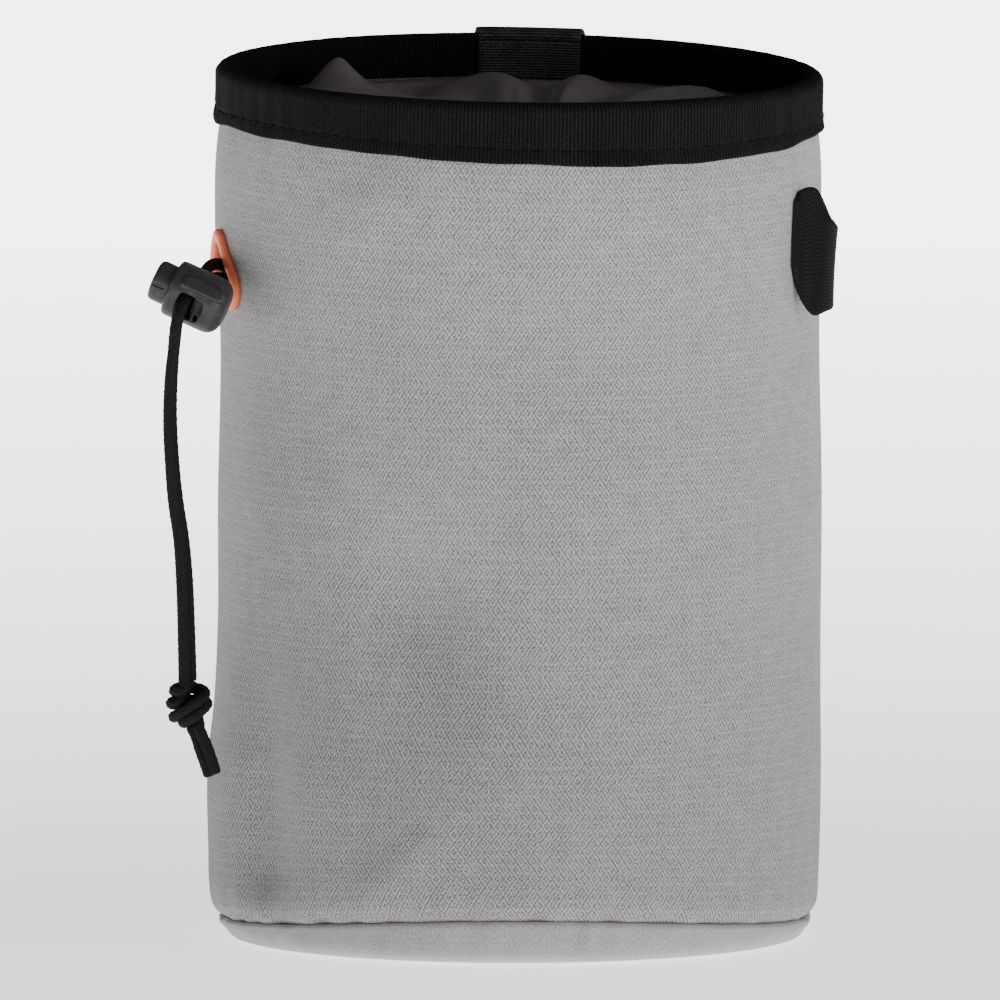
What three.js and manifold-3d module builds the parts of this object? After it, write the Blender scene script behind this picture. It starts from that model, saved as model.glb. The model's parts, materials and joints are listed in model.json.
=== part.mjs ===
// A climbing chalk bag standing on its base, in millimetres.
// +Z is up, the front faces -Y, and +X is on the right as seen from the front. The origin is the middle of
// the base, on the surface that the bag stands on.

import * as THREE from 'three';
import { mergeVertices } from 'three/addons/utils/BufferGeometryUtils.js';
import Module from 'manifold-3d';

const wasm = await Module();
wasm.setup();

// The bag's main sizes
const BAG_HEIGHT = 174;
const BAG_WIDTH = 121.2;
const BAG_DEPTH = 120;
const CLOTH = 1.4;
const CLEARANCE = 0.3;
const AROUND = 48;

// The base panel and its wavy seam
const SEAM_HEIGHT = 6.6;
const SEAM_WAVE = 2.5;
const FOOT_RADIUS = 52;
const FOOT_WAVE = 3.1;
const SEAM_FADE = 7;

// The rim: the tape folded over the wall's top edge, how far the rim tips forward and sideways, and how far
// the tape's lower edge rises at the sides
const TAPE = 1.15;
const TAPE_OUTSIDE = 12.2;
const TAPE_INSIDE = 8.7;
const RIM_TIP = 2.75;
const RIM_ROLL = 1;
const TIP_FROM = 0.45;
const EDGE_RISE = 1.2;

// The collar: a gathered ring of thin cloth with a mouth in the middle
const COLLAR_CLOTH = 1;
const COLLAR_RISE = 2.5;
const COLLAR_DROP = 9;
const MOUTH_RADIUS = 14;
const GATHERS = 12;
const GATHER_DEPTH = 1.3;

// The strip over the rim at the back, and the belt loop that it ends in
const STRIP_WIDTH = 22.6;
const STRIP = 0.9;
const STRIP_SHIFT = 2.1;
const BELT_GAP = 7.6;
const BELT_ROOM = 28;
const BELT_FOOT = 10;
const BELT_LANDING = 1.14;
const BELT_BEND = 1;

// The webbing loop on the right side: its place below the rim, and the share of its depth that it loses on
// its way down
const LOOP_HEIGHT = 25;
const LOOP_DROP = 20.5;
const LOOP_TAPE = 1.1;
const LOOP_DEPTH = 7.4;
const LOOP_LEAN = 0.18;

// The moulded eyelet on the left side, a ring in the form of a rounded triangle
const EYELET_WIDTH = 22;
const EYELET_HEIGHT = 15.5;
const EYELET_BAND = 2.6;
const EYELET_SEAT = 1.5;
const EYELET_CORNER = 4.5;
const EYELET_THICK = 1.1;
const EYELET_ROUND = 0.4;
const EYELET_TOP = 142.5;
const EYELET_AZIMUTH = 193.5;

// The cord lock: a barrel, and a button that is pressed into its open end
const LOCK_LENGTH = 12;
const LOCK_DIAMETER = 11.5;
const LOCK_WALL = 1.3;
const LOCK_ROUND = 2.6;
const LOCK_EDGE = 0.8;
const BORE_EDGE = 0.3;
const RIB_LENGTH = 8.6;
const RIB_WIDTH = 2.6;
const RIB_STAND = 0.4;
const RIB_DEPTH = 2;
const RIB_TURN = -52;
const BUTTON_STAND = 3.7;
const BUTTON_ROUND = 1;
const BUTTON_TRAVEL = 2.4;
const LOCK_CENTRE = new THREE.Vector3(-63.1, -32.3, 130.4);
const LOCK_AXIS = new THREE.Vector3(0.906, -0.12, -0.405);
const LOCK_BORE_WAY = new THREE.Vector3(-0.286, -0.889, -0.358);
const CORD_PLACE = -1.8;

// The drawcord's two strands, in points along the middle of each, from inside the wall to the knot
const CORD_DIAMETER = 2.4;
const STRAND_GAP = 0.1;
const CORD_SIDES = 8;
const FRONT_STRAND = [
  [-55, -11.8, 134.9], [-58.7, -13.7, 135.5], [-60, -16.9, 136], [-61.2, -21.2, 135.8],
  [-62.56, -27.1, 134.35],
  [-64.33, -32.6, 132.1], [-66.1, -38.1, 129.9], [-66.9, -39.9, 128.3], [-67.4, -40.7, 125.6],
  [-67.8, -40.85, 122], [-68.6, -40.9, 115], [-68.9, -40.9, 107], [-68.6, -40.9, 99], [-68, -40.8, 91],
  [-66.9, -40.7, 83], [-66.4, -40.6, 75], [-66.15, -40.5, 67], [-66, -40.4, 59], [-65.95, -40.35, 54.9],
];
const BACK_STRAND = [
  [-55, -12.6, 132.2], [-58.6, -14.8, 132.9], [-60.5, -17.7, 133.2], [-62, -21.4, 133],
  [-63.36, -26, 132.25],
  [-65.13, -31.5, 130], [-66.9, -37, 127.8], [-67.4, -37.9, 126.2], [-67.75, -38.2, 123.8],
  [-68, -38.3, 120.5], [-68.4, -38.35, 114], [-68.5, -38.35, 107], [-68.1, -38.35, 99], [-67.3, -38.3, 91],
  [-66.1, -38.2, 83], [-65.4, -38.15, 75], [-65.05, -38.1, 67], [-64.8, -38, 59], [-64.7, -37.95, 54.9],
];
const FRONT_TAIL = [[-64.6, -39.8, 47.6], [-62.5, -39.8, 43], [-60.9, -39.5, 39], [-59.9, -39.2, 36.3]];
const BACK_TAIL = [[-63, -37.7, 48], [-61.3, -37.3, 43.6], [-60, -37, 39.6], [-59.2, -37, 36.6]];
const KNOT_CENTRE = new THREE.Vector3(-65, -39.2, 49.8);
const KNOT_CORE = new THREE.Vector3(7.1, 7.2, 8.8);
const KNOT_TURN = 2.8;
const KNOT_TUBE = 1.7;
const KNOT_LEAN = 78;
const KNOT_SLANT = -32;

// Derived sizes
const RADIUS = BAG_WIDTH / 2;
const TAPE_OUT = CLEARANCE + TAPE;
const TAPE_IN = CLOTH + CLEARANCE + TAPE;
const WALL_TOP = BAG_HEIGHT - TAPE - 2 * CLEARANCE - CLOTH / 2;
const LOOP_TOP = BAG_HEIGHT - LOOP_DROP;
const RAD = Math.PI / 180;

// Sections of the side wall, one row each: height and girth as shares, and the sideways shift as a share of
// the width
const SECTIONS = [
  { height: 0, girth: 1, shift: -0.002 },
  { height: 0.038, girth: 0.979, shift: -0.003 },
  { height: 0.056, girth: 1.001, shift: -0.005 },
  { height: 0.075, girth: 1.0075, shift: -0.0065 },
  { height: 0.11, girth: 1.0115, shift: -0.006 },
  { height: 0.2, girth: 1.0145, shift: -0.0045 },
  { height: 0.27, girth: 1.002, shift: 0.001 },
  { height: 0.34, girth: 0.995, shift: 0.004 },
  { height: 0.51, girth: 0.9934, shift: 0.005 },
  { height: 0.69, girth: 0.9884, shift: 0.004 },
  { height: 0.82, girth: 1.001, shift: 0.001 },
  { height: 0.9, girth: 0.998, shift: 0.0025 },
  { height: 0.925, girth: 0.99, shift: 0.003 },
  { height: 0.94, girth: 0.982, shift: 0.0035 },
  { height: 1, girth: 0.977, shift: 0.005 },
];

// Soft dents of the wall: where each lies and how far it reaches, in degrees and as shares of the height.
// Depth is a share of the cloth's thickness, inward, and slant is degrees gained per whole height.
const DENTS = [
  { azimuth: -109, height: 0.41, spread: 11, reach: 0.12, depth: 1.5, slant: -40 },
  { azimuth: -146, height: 0.17, spread: 8, reach: 0.15, depth: 1.3, slant: 0 },
  { azimuth: -112, height: 0.1, spread: 6, reach: 0.06, depth: -0.7, slant: 120 },
  { azimuth: -121, height: 0.86, spread: 8, reach: 0.07, depth: -0.7, slant: 90 },
  { azimuth: -93, height: 0.58, spread: 6, reach: 0.14, depth: 0.5, slant: 0 },
  { azimuth: -18, height: 0.8, spread: 8, reach: 0.11, depth: 1, slant: 0 },
  { azimuth: 60, height: 0.45, spread: 14, reach: 0.16, depth: 0.9, slant: 40 },
  { azimuth: 128, height: 0.3, spread: 12, reach: 0.13, depth: 0.8, slant: -40 },
];

// Shares of the height between which the dents fade in and out
const DENTS_FROM = [0.04, 0.1];
const DENTS_TO = [0.88, 0.94];

// The base panel's profile from the flat foot to the seam: how far out as a share of the way from the foot
// to the wall, and how far up as a share of the seam's height
const BASE_OUTSIDE = [
  { out: 0, up: 0 },
  { out: 0.52, up: 0.15 },
  { out: 0.82, up: 0.48 },
  { out: 1, up: 1 },
];
const BASE_INSIDE = [
  { out: 0.36, up: 0.32 },
  { out: 0.66, up: 0.55 },
];

// The strip's way below the rim: how far out as a share of the gap, how far down as a share of the room,
// and its tilt in degrees
const BELT_PATH = [
  { out: 0.75, down: 0.09, turn: 35 },
  { out: 1, down: 0.24, turn: 0 },
  { out: 1, down: 0.84, turn: 0 },
  { out: 0.72, down: 1, turn: -38 },
];

const smooth = (low, high, value) => THREE.MathUtils.smoothstep(value, low, high);

// The girth and the shift of the wall at a height, on straight lines between the rows of the table
function section(height) {
  const share = THREE.MathUtils.clamp(height / BAG_HEIGHT, 0, 1);
  let row = 1;
  while (row < SECTIONS.length - 1 && SECTIONS[row].height < share) {
    row += 1;
  }
  const [below, above] = [SECTIONS[row - 1], SECTIONS[row]];
  const t = (share - below.height) / (above.height - below.height);
  return {
    girth: THREE.MathUtils.lerp(below.girth, above.girth, t),
    shift: THREE.MathUtils.lerp(below.shift, above.shift, t) * BAG_WIDTH,
  };
}

// How far the wall is pressed in at a place
function dent(azimuth, height) {
  let depth = 0;
  for (const row of DENTS) {
    const up = height / BAG_HEIGHT - row.height;
    const turn = THREE.MathUtils.euclideanModulo(azimuth - row.azimuth - row.slant * up + 180, 360) - 180;
    depth += row.depth * CLOTH * Math.exp(-((turn / row.spread) ** 2) - (up / row.reach) ** 2);
  }
  const share = height / BAG_HEIGHT;
  return depth * smooth(...DENTS_FROM, share) * (1 - smooth(...DENTS_TO, share));
}

// A place on the bag: an azimuth in degrees, a height, and a distance out from the middle on a plain cylinder
function drape(azimuth, radius, height) {
  const { girth, shift } = section(height);
  const share = radius / RADIUS;
  const angle = azimuth * RAD;
  const below = 1 - smooth(SEAM_HEIGHT, 2 * SEAM_HEIGHT, height);
  const flat = below * (1 - smooth(FOOT_RADIUS, RADIUS - CLOTH, radius));
  const foot = 1 + (FOOT_WAVE / FOOT_RADIUS) * Math.cos(2 * angle) * flat;
  const out = (share * girth * foot) * RADIUS - share * dent(azimuth, height);
  const x = out * Math.cos(angle);
  const y = (out * Math.sin(angle) * BAG_DEPTH) / BAG_WIDTH;
  const above = 1 - smooth(SEAM_HEIGHT, SEAM_FADE * SEAM_HEIGHT, height);
  const seam = smooth(CLOTH, SEAM_HEIGHT, height) * above;
  const tip = smooth(BAG_HEIGHT * TIP_FROM, BAG_HEIGHT, height);
  const lift = -seam * SEAM_WAVE * Math.cos(2 * angle) + (tip * (RIM_TIP * y - RIM_ROLL * x)) / RADIUS;
  return new THREE.Vector3(x + shift, y, height + lift);
}

// The place of a vertex of a plain lathe turned about +Z, on the bag
function drapeGeometry(geometry, extra = () => 0) {
  const places = geometry.attributes.position;
  for (let i = 0; i < places.count; i += 1) {
    const [x, y, z] = [places.getX(i), places.getY(i), places.getZ(i)];
    const radius = Math.hypot(x, y);
    const azimuth = Math.atan2(y, x) / RAD;
    const place = drape(azimuth, radius, z + extra(azimuth, radius, z));
    places.setXYZ(i, place.x, place.y, place.z);
  }
  return geometry;
}

// Turns a profile of [radius, height] rows about +Z
function turned(profile) {
  const points = profile.map(([radius, height]) => new THREE.Vector2(radius, height));
  return new THREE.LatheGeometry(points, AROUND).rotateX(Math.PI / 2);
}

// A sheet with two faces, each a grid of points: the outer face, the inner face and the four edges between
// them
function thickSheet(outer, inner) {
  const [rows, columns] = [outer.length, outer[0].length];
  const points = [...outer.flat(), ...inner.flat()];
  const at = (side, i, j) => side * rows * columns + i * columns + j;
  const faces = [];
  const quad = (a, b, c, d) => faces.push(a, b, c, a, c, d);
  for (let i = 0; i < rows - 1; i += 1) {
    for (let j = 0; j < columns - 1; j += 1) {
      quad(at(0, i, j), at(0, i, j + 1), at(0, i + 1, j + 1), at(0, i + 1, j));
      quad(at(1, i, j), at(1, i + 1, j), at(1, i + 1, j + 1), at(1, i, j + 1));
    }
    quad(at(0, i, 0), at(0, i + 1, 0), at(1, i + 1, 0), at(1, i, 0));
    quad(at(0, i + 1, columns - 1), at(0, i, columns - 1), at(1, i, columns - 1), at(1, i + 1, columns - 1));
  }
  for (let j = 0; j < columns - 1; j += 1) {
    quad(at(0, 0, j + 1), at(0, 0, j), at(1, 0, j), at(1, 0, j + 1));
    quad(at(0, rows - 1, j), at(0, rows - 1, j + 1), at(1, rows - 1, j + 1), at(1, rows - 1, j));
  }
  const geometry = new THREE.BufferGeometry().setFromPoints(points);
  geometry.setIndex(faces);
  return outward(geometry);
}

// Turns a closed geometry's faces round if they point inwards
function outward(geometry) {
  const places = geometry.attributes.position;
  const index = [...geometry.index.array];
  const corner = (i) => new THREE.Vector3().fromBufferAttribute(places, index[i]);
  let volume = 0;
  for (let i = 0; i < index.length; i += 3) {
    volume += corner(i).dot(corner(i + 1).cross(corner(i + 2)));
  }
  if (volume < 0) {
    for (let i = 0; i < index.length; i += 3) {
      [index[i], index[i + 1]] = [index[i + 1], index[i]];
    }
    geometry.setIndex(index);
  }
  return geometry;
}

// Booleans on closed geometries
function solid(geometry) {
  const bare = new THREE.BufferGeometry();
  bare.setAttribute('position', geometry.attributes.position);
  bare.setIndex(geometry.index);
  const whole = outward(mergeVertices(bare, 1e-4));
  return new wasm.Manifold(new wasm.Mesh({
    numProp: 3,
    vertProperties: new Float32Array(whole.attributes.position.array),
    triVerts: new Uint32Array(whole.index.array),
  }));
}

function geometryOf(manifold) {
  const mesh = manifold.getMesh();
  const geometry = new THREE.BufferGeometry();
  geometry.setAttribute('position', new THREE.BufferAttribute(mesh.vertProperties, 3));
  geometry.setIndex([...mesh.triVerts]);
  return geometry;
}

// The corners of a rounded triangle with its tip up and its lower edge at 0, a margin inside the eyelet's
// outline. Each corner is an arc, and each straight side has a few points so that it can bend round the wall.
function trianglePoints(margin, steps) {
  const radius = EYELET_CORNER - margin;
  const half = EYELET_WIDTH / 2 - EYELET_CORNER;
  const rise = EYELET_HEIGHT - 2 * EYELET_CORNER;
  const side = Math.atan2(half, rise);
  const corners = [
    { x: half, y: EYELET_CORNER, from: -Math.PI / 2, to: side },
    { x: 0, y: EYELET_CORNER + rise, from: side, to: Math.PI - side },
    { x: -half, y: EYELET_CORNER, from: Math.PI - side, to: 1.5 * Math.PI },
  ];
  const rim = (corner, angle) => new THREE.Vector2(
    corner.x + radius * Math.cos(angle),
    corner.y + radius * Math.sin(angle),
  );
  const points = [];
  corners.forEach((corner, i) => {
    const next = corners[(i + 1) % corners.length];
    const [end, start] = [rim(corner, corner.to), rim(next, next.from)];
    for (let step = 0; step < steps; step += 1) {
      points.push(rim(corner, THREE.MathUtils.lerp(corner.from, corner.to, step / steps)));
    }
    for (let step = 0; step < steps; step += 1) {
      points.push(end.clone().lerp(start, step / steps));
    }
  });
  return points;
}

// Lays a flat geometry on the wall: x runs round the bag, y up and z outwards
function layOn(geometry, azimuth, height) {
  const places = geometry.attributes.position;
  for (let i = 0; i < places.count; i += 1) {
    const turn = places.getX(i) / RADIUS / RAD;
    const place = drape(azimuth + turn, RADIUS + places.getZ(i), height + places.getY(i));
    places.setXYZ(i, place.x, place.y, place.z);
  }
  return geometry;
}

// The side wall, with the hole behind the eyelet
function outerWall() {
  const bottom = SEAM_HEIGHT + CLEARANCE;
  const rows = SECTIONS.map((row) => row.height * BAG_HEIGHT);
  const between = rows.filter((z) => z > bottom + CLOTH / 2 && z < WALL_TOP - CLOTH / 2);
  const levels = [bottom, ...between, WALL_TOP];
  const profile = levels.map((z) => [RADIUS, z]);
  const inside = levels.map((z) => [RADIUS - CLOTH, z]).reverse();
  const wall = drapeGeometry(turned([...profile, ...inside, profile[0]]));
  const window = new THREE.Shape(trianglePoints(EYELET_SEAT, 3));
  const hole = new THREE.ExtrudeGeometry(window, { depth: 4 * CLOTH, bevelEnabled: false });
  hole.translate(0, 0, -2 * CLOTH);
  return geometryOf(solid(wall).subtract(solid(layOn(hole, EYELET_AZIMUTH, EYELET_TOP - EYELET_HEIGHT))));
}

// The round bottom: flat on the surface, then rounded up to the seam
function basePanel() {
  const edge = RADIUS - FOOT_RADIUS;
  const along = (rows) => rows.map((row) => [FOOT_RADIUS + row.out * edge, row.up * SEAM_HEIGHT]);
  const outside = [[0, 0], [FOOT_RADIUS / 2, 0], ...along(BASE_OUTSIDE)];
  const inside = [[0, CLOTH], [FOOT_RADIUS / 2, CLOTH], [FOOT_RADIUS - CLOTH / 2, CLOTH]];
  inside.push(...along(BASE_INSIDE), [RADIUS - CLOTH, SEAM_HEIGHT]);
  return drapeGeometry(turned([...outside, ...inside.reverse()]));
}

// The tape folded over the wall's top edge
function rimBinding() {
  const middle = RADIUS + (TAPE_OUT - TAPE_IN) / 2;
  const half = (TAPE_OUT + TAPE_IN) / 2;
  const low = BAG_HEIGHT - TAPE_OUTSIDE;
  const round = [0, 45, 90, 135, 180].map((degrees) => [
    middle + half * Math.cos(degrees * RAD),
    BAG_HEIGHT - half + half * Math.sin(degrees * RAD),
  ]);
  const profile = [
    [RADIUS + TAPE_OUT, low],
    [RADIUS + TAPE_OUT, (low + BAG_HEIGHT) / 2],
    ...round,
    [RADIUS - TAPE_IN, BAG_HEIGHT - TAPE_INSIDE],
    [RADIUS - CLOTH - CLEARANCE, BAG_HEIGHT - TAPE_INSIDE],
    [RADIUS - CLOTH - CLEARANCE, WALL_TOP + CLEARANCE],
    [RADIUS + CLEARANCE, WALL_TOP + CLEARANCE],
    [RADIUS + CLEARANCE, low],
  ];
  const rise = (azimuth, radius, height) => {
    const edge = radius > RADIUS && height < low + TAPE;
    return edge ? EDGE_RISE * Math.cos(azimuth * RAD) ** 2 : 0;
  };
  return drapeGeometry(turned([...profile, profile[0]]), rise);
}

// The collar: from under the tape's inner edge up over a crest, and down to a gathered mouth
function liningCollar() {
  const seat = BAG_HEIGHT - TAPE_INSIDE - CLEARANCE;
  const outer = RADIUS - CLOTH - CLEARANCE;
  const span = outer - MOUTH_RADIUS;
  const rows = [
    { in: 0, up: 0 },
    { in: 0.07, up: 0 },
    { in: 0.28, up: 0.75 },
    { in: 0.52, up: 1 },
    { in: 0.76, up: 0.25 },
    { in: 1, up: 1 - COLLAR_DROP / COLLAR_RISE },
  ];
  const top = rows.map((row) => [outer - row.in * span, seat + row.up * COLLAR_RISE]);
  const under = top.map(([radius, height]) => [radius, height - COLLAR_CLOTH]).reverse();
  const gather = (azimuth, radius) => {
    const share = THREE.MathUtils.clamp((outer - radius) / span, 0, 1);
    const swell = smooth(0.08, 0.4, share);
    return GATHER_DEPTH * swell * Math.sin(GATHERS * azimuth * RAD);
  };
  return drapeGeometry(turned([...top, ...under, top[0]]), gather);
}

// The strip: sewn inside the rim, over it, down the tape outside, out into the belt loop and back to the wall
function beltStrip() {
  const half = (TAPE_OUT + TAPE_IN) / 2 + CLEARANCE;
  const middle = (TAPE_OUT - TAPE_IN) / 2;
  const crown = BAG_HEIGHT - (TAPE_OUT + TAPE_IN) / 2;
  const low = BAG_HEIGHT - TAPE_OUTSIDE - CLEARANCE;
  const path = [{ out: middle - half, up: BAG_HEIGHT - TAPE_INSIDE + CLEARANCE, turn: 180 }];
  for (const degrees of [180, 135, 90, 45, 0]) {
    path.push({
      out: middle + half * Math.cos(degrees * RAD),
      up: crown + half * Math.sin(degrees * RAD),
      turn: degrees,
    });
  }
  path.push({ out: middle + half, up: low + BELT_BEND, turn: 0 });
  for (const { out, down, turn } of BELT_PATH) {
    path.push({ out: BELT_GAP * out, up: low - BELT_ROOM * down, turn });
  }
  path.push({ out: CLEARANCE, up: low - BELT_ROOM * BELT_LANDING, turn: -20 });
  path.push({ out: CLEARANCE, up: low - BELT_ROOM * BELT_LANDING - BELT_FOOT, turn: 0 });
  const columns = [-1, -1 / 3, 1 / 3, 1];
  const face = (extra) => path.map(({ out, up, turn }) => columns.map((column) => {
    const along = -STRIP_SHIFT + (column * STRIP_WIDTH) / 2;
    const radius = RADIUS + out + extra * Math.cos(turn * RAD);
    return drape(90 + along / RADIUS / RAD, radius, up + extra * Math.sin(turn * RAD));
  }));
  return thickSheet(face(STRIP), face(0));
}

// The webbing loop: a foot on the wall, a leg straight out, the band back to the wall and its second foot
function brushLoop() {
  const rows = [
    { azimuth: -25.8, out: 0, top: 0.09, bottom: 0.64, turn: 0 },
    { azimuth: -23, out: 0, top: 0.02, bottom: 0.84, turn: -38 },
    { azimuth: -21.7, out: 0.5, top: 0.01, bottom: 1.04, turn: -70 },
    { azimuth: -20.6, out: 1, top: 0.29, bottom: 1, turn: -22 },
    { azimuth: -15, out: 0.66, top: 0.29, bottom: 0.96, turn: 14 },
    { azimuth: -9, out: 0.29, top: 0.27, bottom: 0.95, turn: 10 },
    { azimuth: -4, out: 0, top: 0.25, bottom: 0.95, turn: 3 },
    { azimuth: 1.5, out: 0, top: 0.25, bottom: 0.95, turn: 0 },
  ];
  const face = (extra) => rows.map((row) => {
    const turn = row.azimuth + (extra * Math.sin(row.turn * RAD)) / RADIUS / RAD;
    const start = RADIUS + CLEARANCE + extra * Math.cos(row.turn * RAD);
    return [row.top, row.bottom].map((share) => {
      const out = row.out * LOOP_DEPTH * (1 - LOOP_LEAN * share);
      return drape(turn, start + out, LOOP_TOP - share * LOOP_HEIGHT);
    });
  });
  return thickSheet(face(LOOP_TAPE), face(0));
}

// The eyelet: a band with rounded edges, carried round the triangle from its seat to its face and back
function cordEyelet() {
  const profile = [
    { margin: 0, out: 0 },
    { margin: 0, out: EYELET_THICK - EYELET_ROUND },
    { margin: EYELET_ROUND, out: EYELET_THICK },
    { margin: EYELET_BAND - EYELET_ROUND, out: EYELET_THICK },
    { margin: EYELET_BAND, out: EYELET_THICK - EYELET_ROUND },
    { margin: EYELET_BAND, out: 0 },
  ];
  const loops = profile.map(({ margin, out }) => trianglePoints(margin, 4).map(
    (point) => new THREE.Vector3(point.x, point.y, CLEARANCE + out),
  ));
  const [rows, columns] = [loops.length, loops[0].length];
  const at = (i, j) => (i % rows) * columns + (j % columns);
  const faces = [];
  for (let i = 0; i < rows; i += 1) {
    for (let j = 0; j < columns; j += 1) {
      faces.push(at(i, j), at(i, j + 1), at(i + 1, j + 1), at(i, j), at(i + 1, j + 1), at(i + 1, j));
    }
  }
  const ring = new THREE.BufferGeometry().setFromPoints(loops.flat());
  ring.setIndex(faces);
  return outward(layOn(ring, EYELET_AZIMUTH, EYELET_TOP - EYELET_HEIGHT));
}

// A bar from start to end along X, turned about that axis, with a bevelled edge at its start and a round one
// at its end
function barrel(radius, start, end, round, sides) {
  const arc = round.end * (1 - Math.SQRT1_2);
  const points = [[0, start], [radius - round.start, start], [radius, start + round.start]];
  points.push([radius, end - round.end], [radius - arc, end - arc], [radius - round.end, end], [0, end]);
  const profile = points.map(([r, x]) => new THREE.Vector2(r, x));
  return new THREE.LatheGeometry(profile, sides).rotateZ(-Math.PI / 2);
}

function block(x, y, z, width, depth, height) {
  return new THREE.BoxGeometry(width, depth, height).translate(x, y, z);
}

const LOCK_HALF = LOCK_LENGTH / 2;
const LOCK_BORE = LOCK_DIAMETER / 2 - LOCK_WALL;
const BUTTON_RADIUS = LOCK_BORE - CLEARANCE;
const CORD_ROOM = CORD_DIAMETER + 2 * CLEARANCE;
const CORDS_ROOM = 2 * CORD_DIAMETER + STRAND_GAP + 2 * CLEARANCE;
const BUTTON_END = CORD_PLACE + CORD_ROOM / 2 + LOCK_WALL;

// The lock's barrel: open at its left end, cut across for the cord, with a flat raised rib along its front
function lockBody() {
  const body = barrel(LOCK_DIAMETER / 2, -LOCK_HALF, LOCK_HALF, { start: LOCK_EDGE, end: LOCK_ROUND }, 24);
  const deep = BUTTON_END + BUTTON_TRAVEL + CLEARANCE;
  const room = barrel(LOCK_BORE, -LOCK_LENGTH, deep, { start: BORE_EDGE, end: BORE_EDGE }, 24);
  const across = 2 * LOCK_DIAMETER;
  const cordHole = block(CORD_PLACE + CLEARANCE, 0, 0, CORD_ROOM + 2 * CLEARANCE, across, CORDS_ROOM);
  const ribPlace = -(LOCK_DIAMETER / 2 + RIB_STAND - RIB_DEPTH / 2);
  const rib = block(0, ribPlace, 0, RIB_LENGTH, RIB_DEPTH, RIB_WIDTH).rotateX(RIB_TURN * RAD);
  return geometryOf(solid(body).add(solid(rib)).subtract(solid(room)).subtract(solid(cordHole)));
}

// The button: its head stands out of the barrel, and its stem has a slot that clears the cord over the whole
// travel
function lockButton() {
  const round = { start: BUTTON_ROUND, end: BORE_EDGE };
  const stem = barrel(BUTTON_RADIUS, -LOCK_HALF - BUTTON_STAND, BUTTON_END, round, 20);
  const slot = CORD_ROOM + BUTTON_TRAVEL;
  const across = 2 * LOCK_DIAMETER;
  const cordSlot = block(CORD_PLACE + CORD_ROOM / 2 - slot / 2, 0, 0, slot, across, CORDS_ROOM);
  return geometryOf(solid(stem).subtract(solid(cordSlot)));
}

// The barrel's own frame: X along the barrel, Y back through the cord's hole, Z across the two strands
function lockFrame() {
  const x = LOCK_AXIS.clone().normalize();
  const z = x.clone().cross(LOCK_BORE_WAY.clone().negate()).normalize();
  const y = z.clone().cross(x);
  const group = new THREE.Group();
  group.quaternion.setFromRotationMatrix(new THREE.Matrix4().makeBasis(x, y, z));
  group.position.copy(LOCK_CENTRE);
  return group;
}

function cordTube(points, steps) {
  const section = new THREE.Shape();
  section.absarc(0, 0, CORD_DIAMETER / 2, 0, 2 * Math.PI, false);
  const places = points.map((point) => new THREE.Vector3(...point));
  const route = new THREE.CatmullRomCurve3(places, false, 'centripetal');
  return new THREE.ExtrudeGeometry(section, { steps, extrudePath: route, curveSegments: CORD_SIDES / 2 });
}

// The knot: a core with a turn of cord wound round it aslant, and the two tails
function cordKnot() {
  const core = new THREE.SphereGeometry(0.5, 10, 7).scale(KNOT_CORE.x, KNOT_CORE.y, KNOT_CORE.z);
  const turn = new THREE.TorusGeometry(KNOT_TURN, KNOT_TUBE, 7, 14);
  turn.rotateX(KNOT_LEAN * RAD).rotateY(KNOT_SLANT * RAD);
  const lump = solid(core).add(solid(turn)).translate([KNOT_CENTRE.x, KNOT_CENTRE.y, KNOT_CENTRE.z]);
  return geometryOf(lump.add(solid(cordTube(FRONT_TAIL, 5))).add(solid(cordTube(BACK_TAIL, 5))));
}

// Finishes
const greyCloth = { color: 0x9b9896, roughness: 0.85, metalness: 0 };
const blackTape = { color: 0x181617, roughness: 0.8, metalness: 0 };
const collarCloth = { color: 0x363135, roughness: 0.5, metalness: 0 };
const orangeRubber = { color: 0xd9502c, roughness: 0.5, metalness: 0 };
const greyPlastic = { color: 0x2b2b2d, roughness: 0.4, metalness: 0 };
const blackCord = { color: 0x141414, roughness: 0.75, metalness: 0 };

function piece(name, geometry, finish) {
  const mesh = new THREE.Mesh(geometry, new THREE.MeshStandardMaterial(finish));
  mesh.name = name;
  return mesh;
}

const bag = new THREE.Group();
bag.add(
  piece('outer_wall', outerWall(), greyCloth),
  piece('base_panel', basePanel(), greyCloth),
  piece('rim_binding', rimBinding(), blackTape),
  piece('belt_strip', beltStrip(), blackTape),
  piece('lining_collar', liningCollar(), collarCloth),
  piece('brush_loop', brushLoop(), blackTape),
  piece('cord_eyelet', cordEyelet(), orangeRubber),
);

const lock = lockFrame();
lock.add(piece('lock_body', lockBody(), greyPlastic), piece('lock_button', lockButton(), greyPlastic));
bag.add(lock);

bag.add(
  piece('drawcord_front', cordTube(FRONT_STRAND, 44), blackCord),
  piece('drawcord_back', cordTube(BACK_STRAND, 44), blackCord),
  piece('cord_knot', cordKnot(), blackCord),
);

export default bag;
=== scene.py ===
import json
import math

import bmesh
import bpy
import numpy as np
from mathutils import Matrix, Vector

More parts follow.
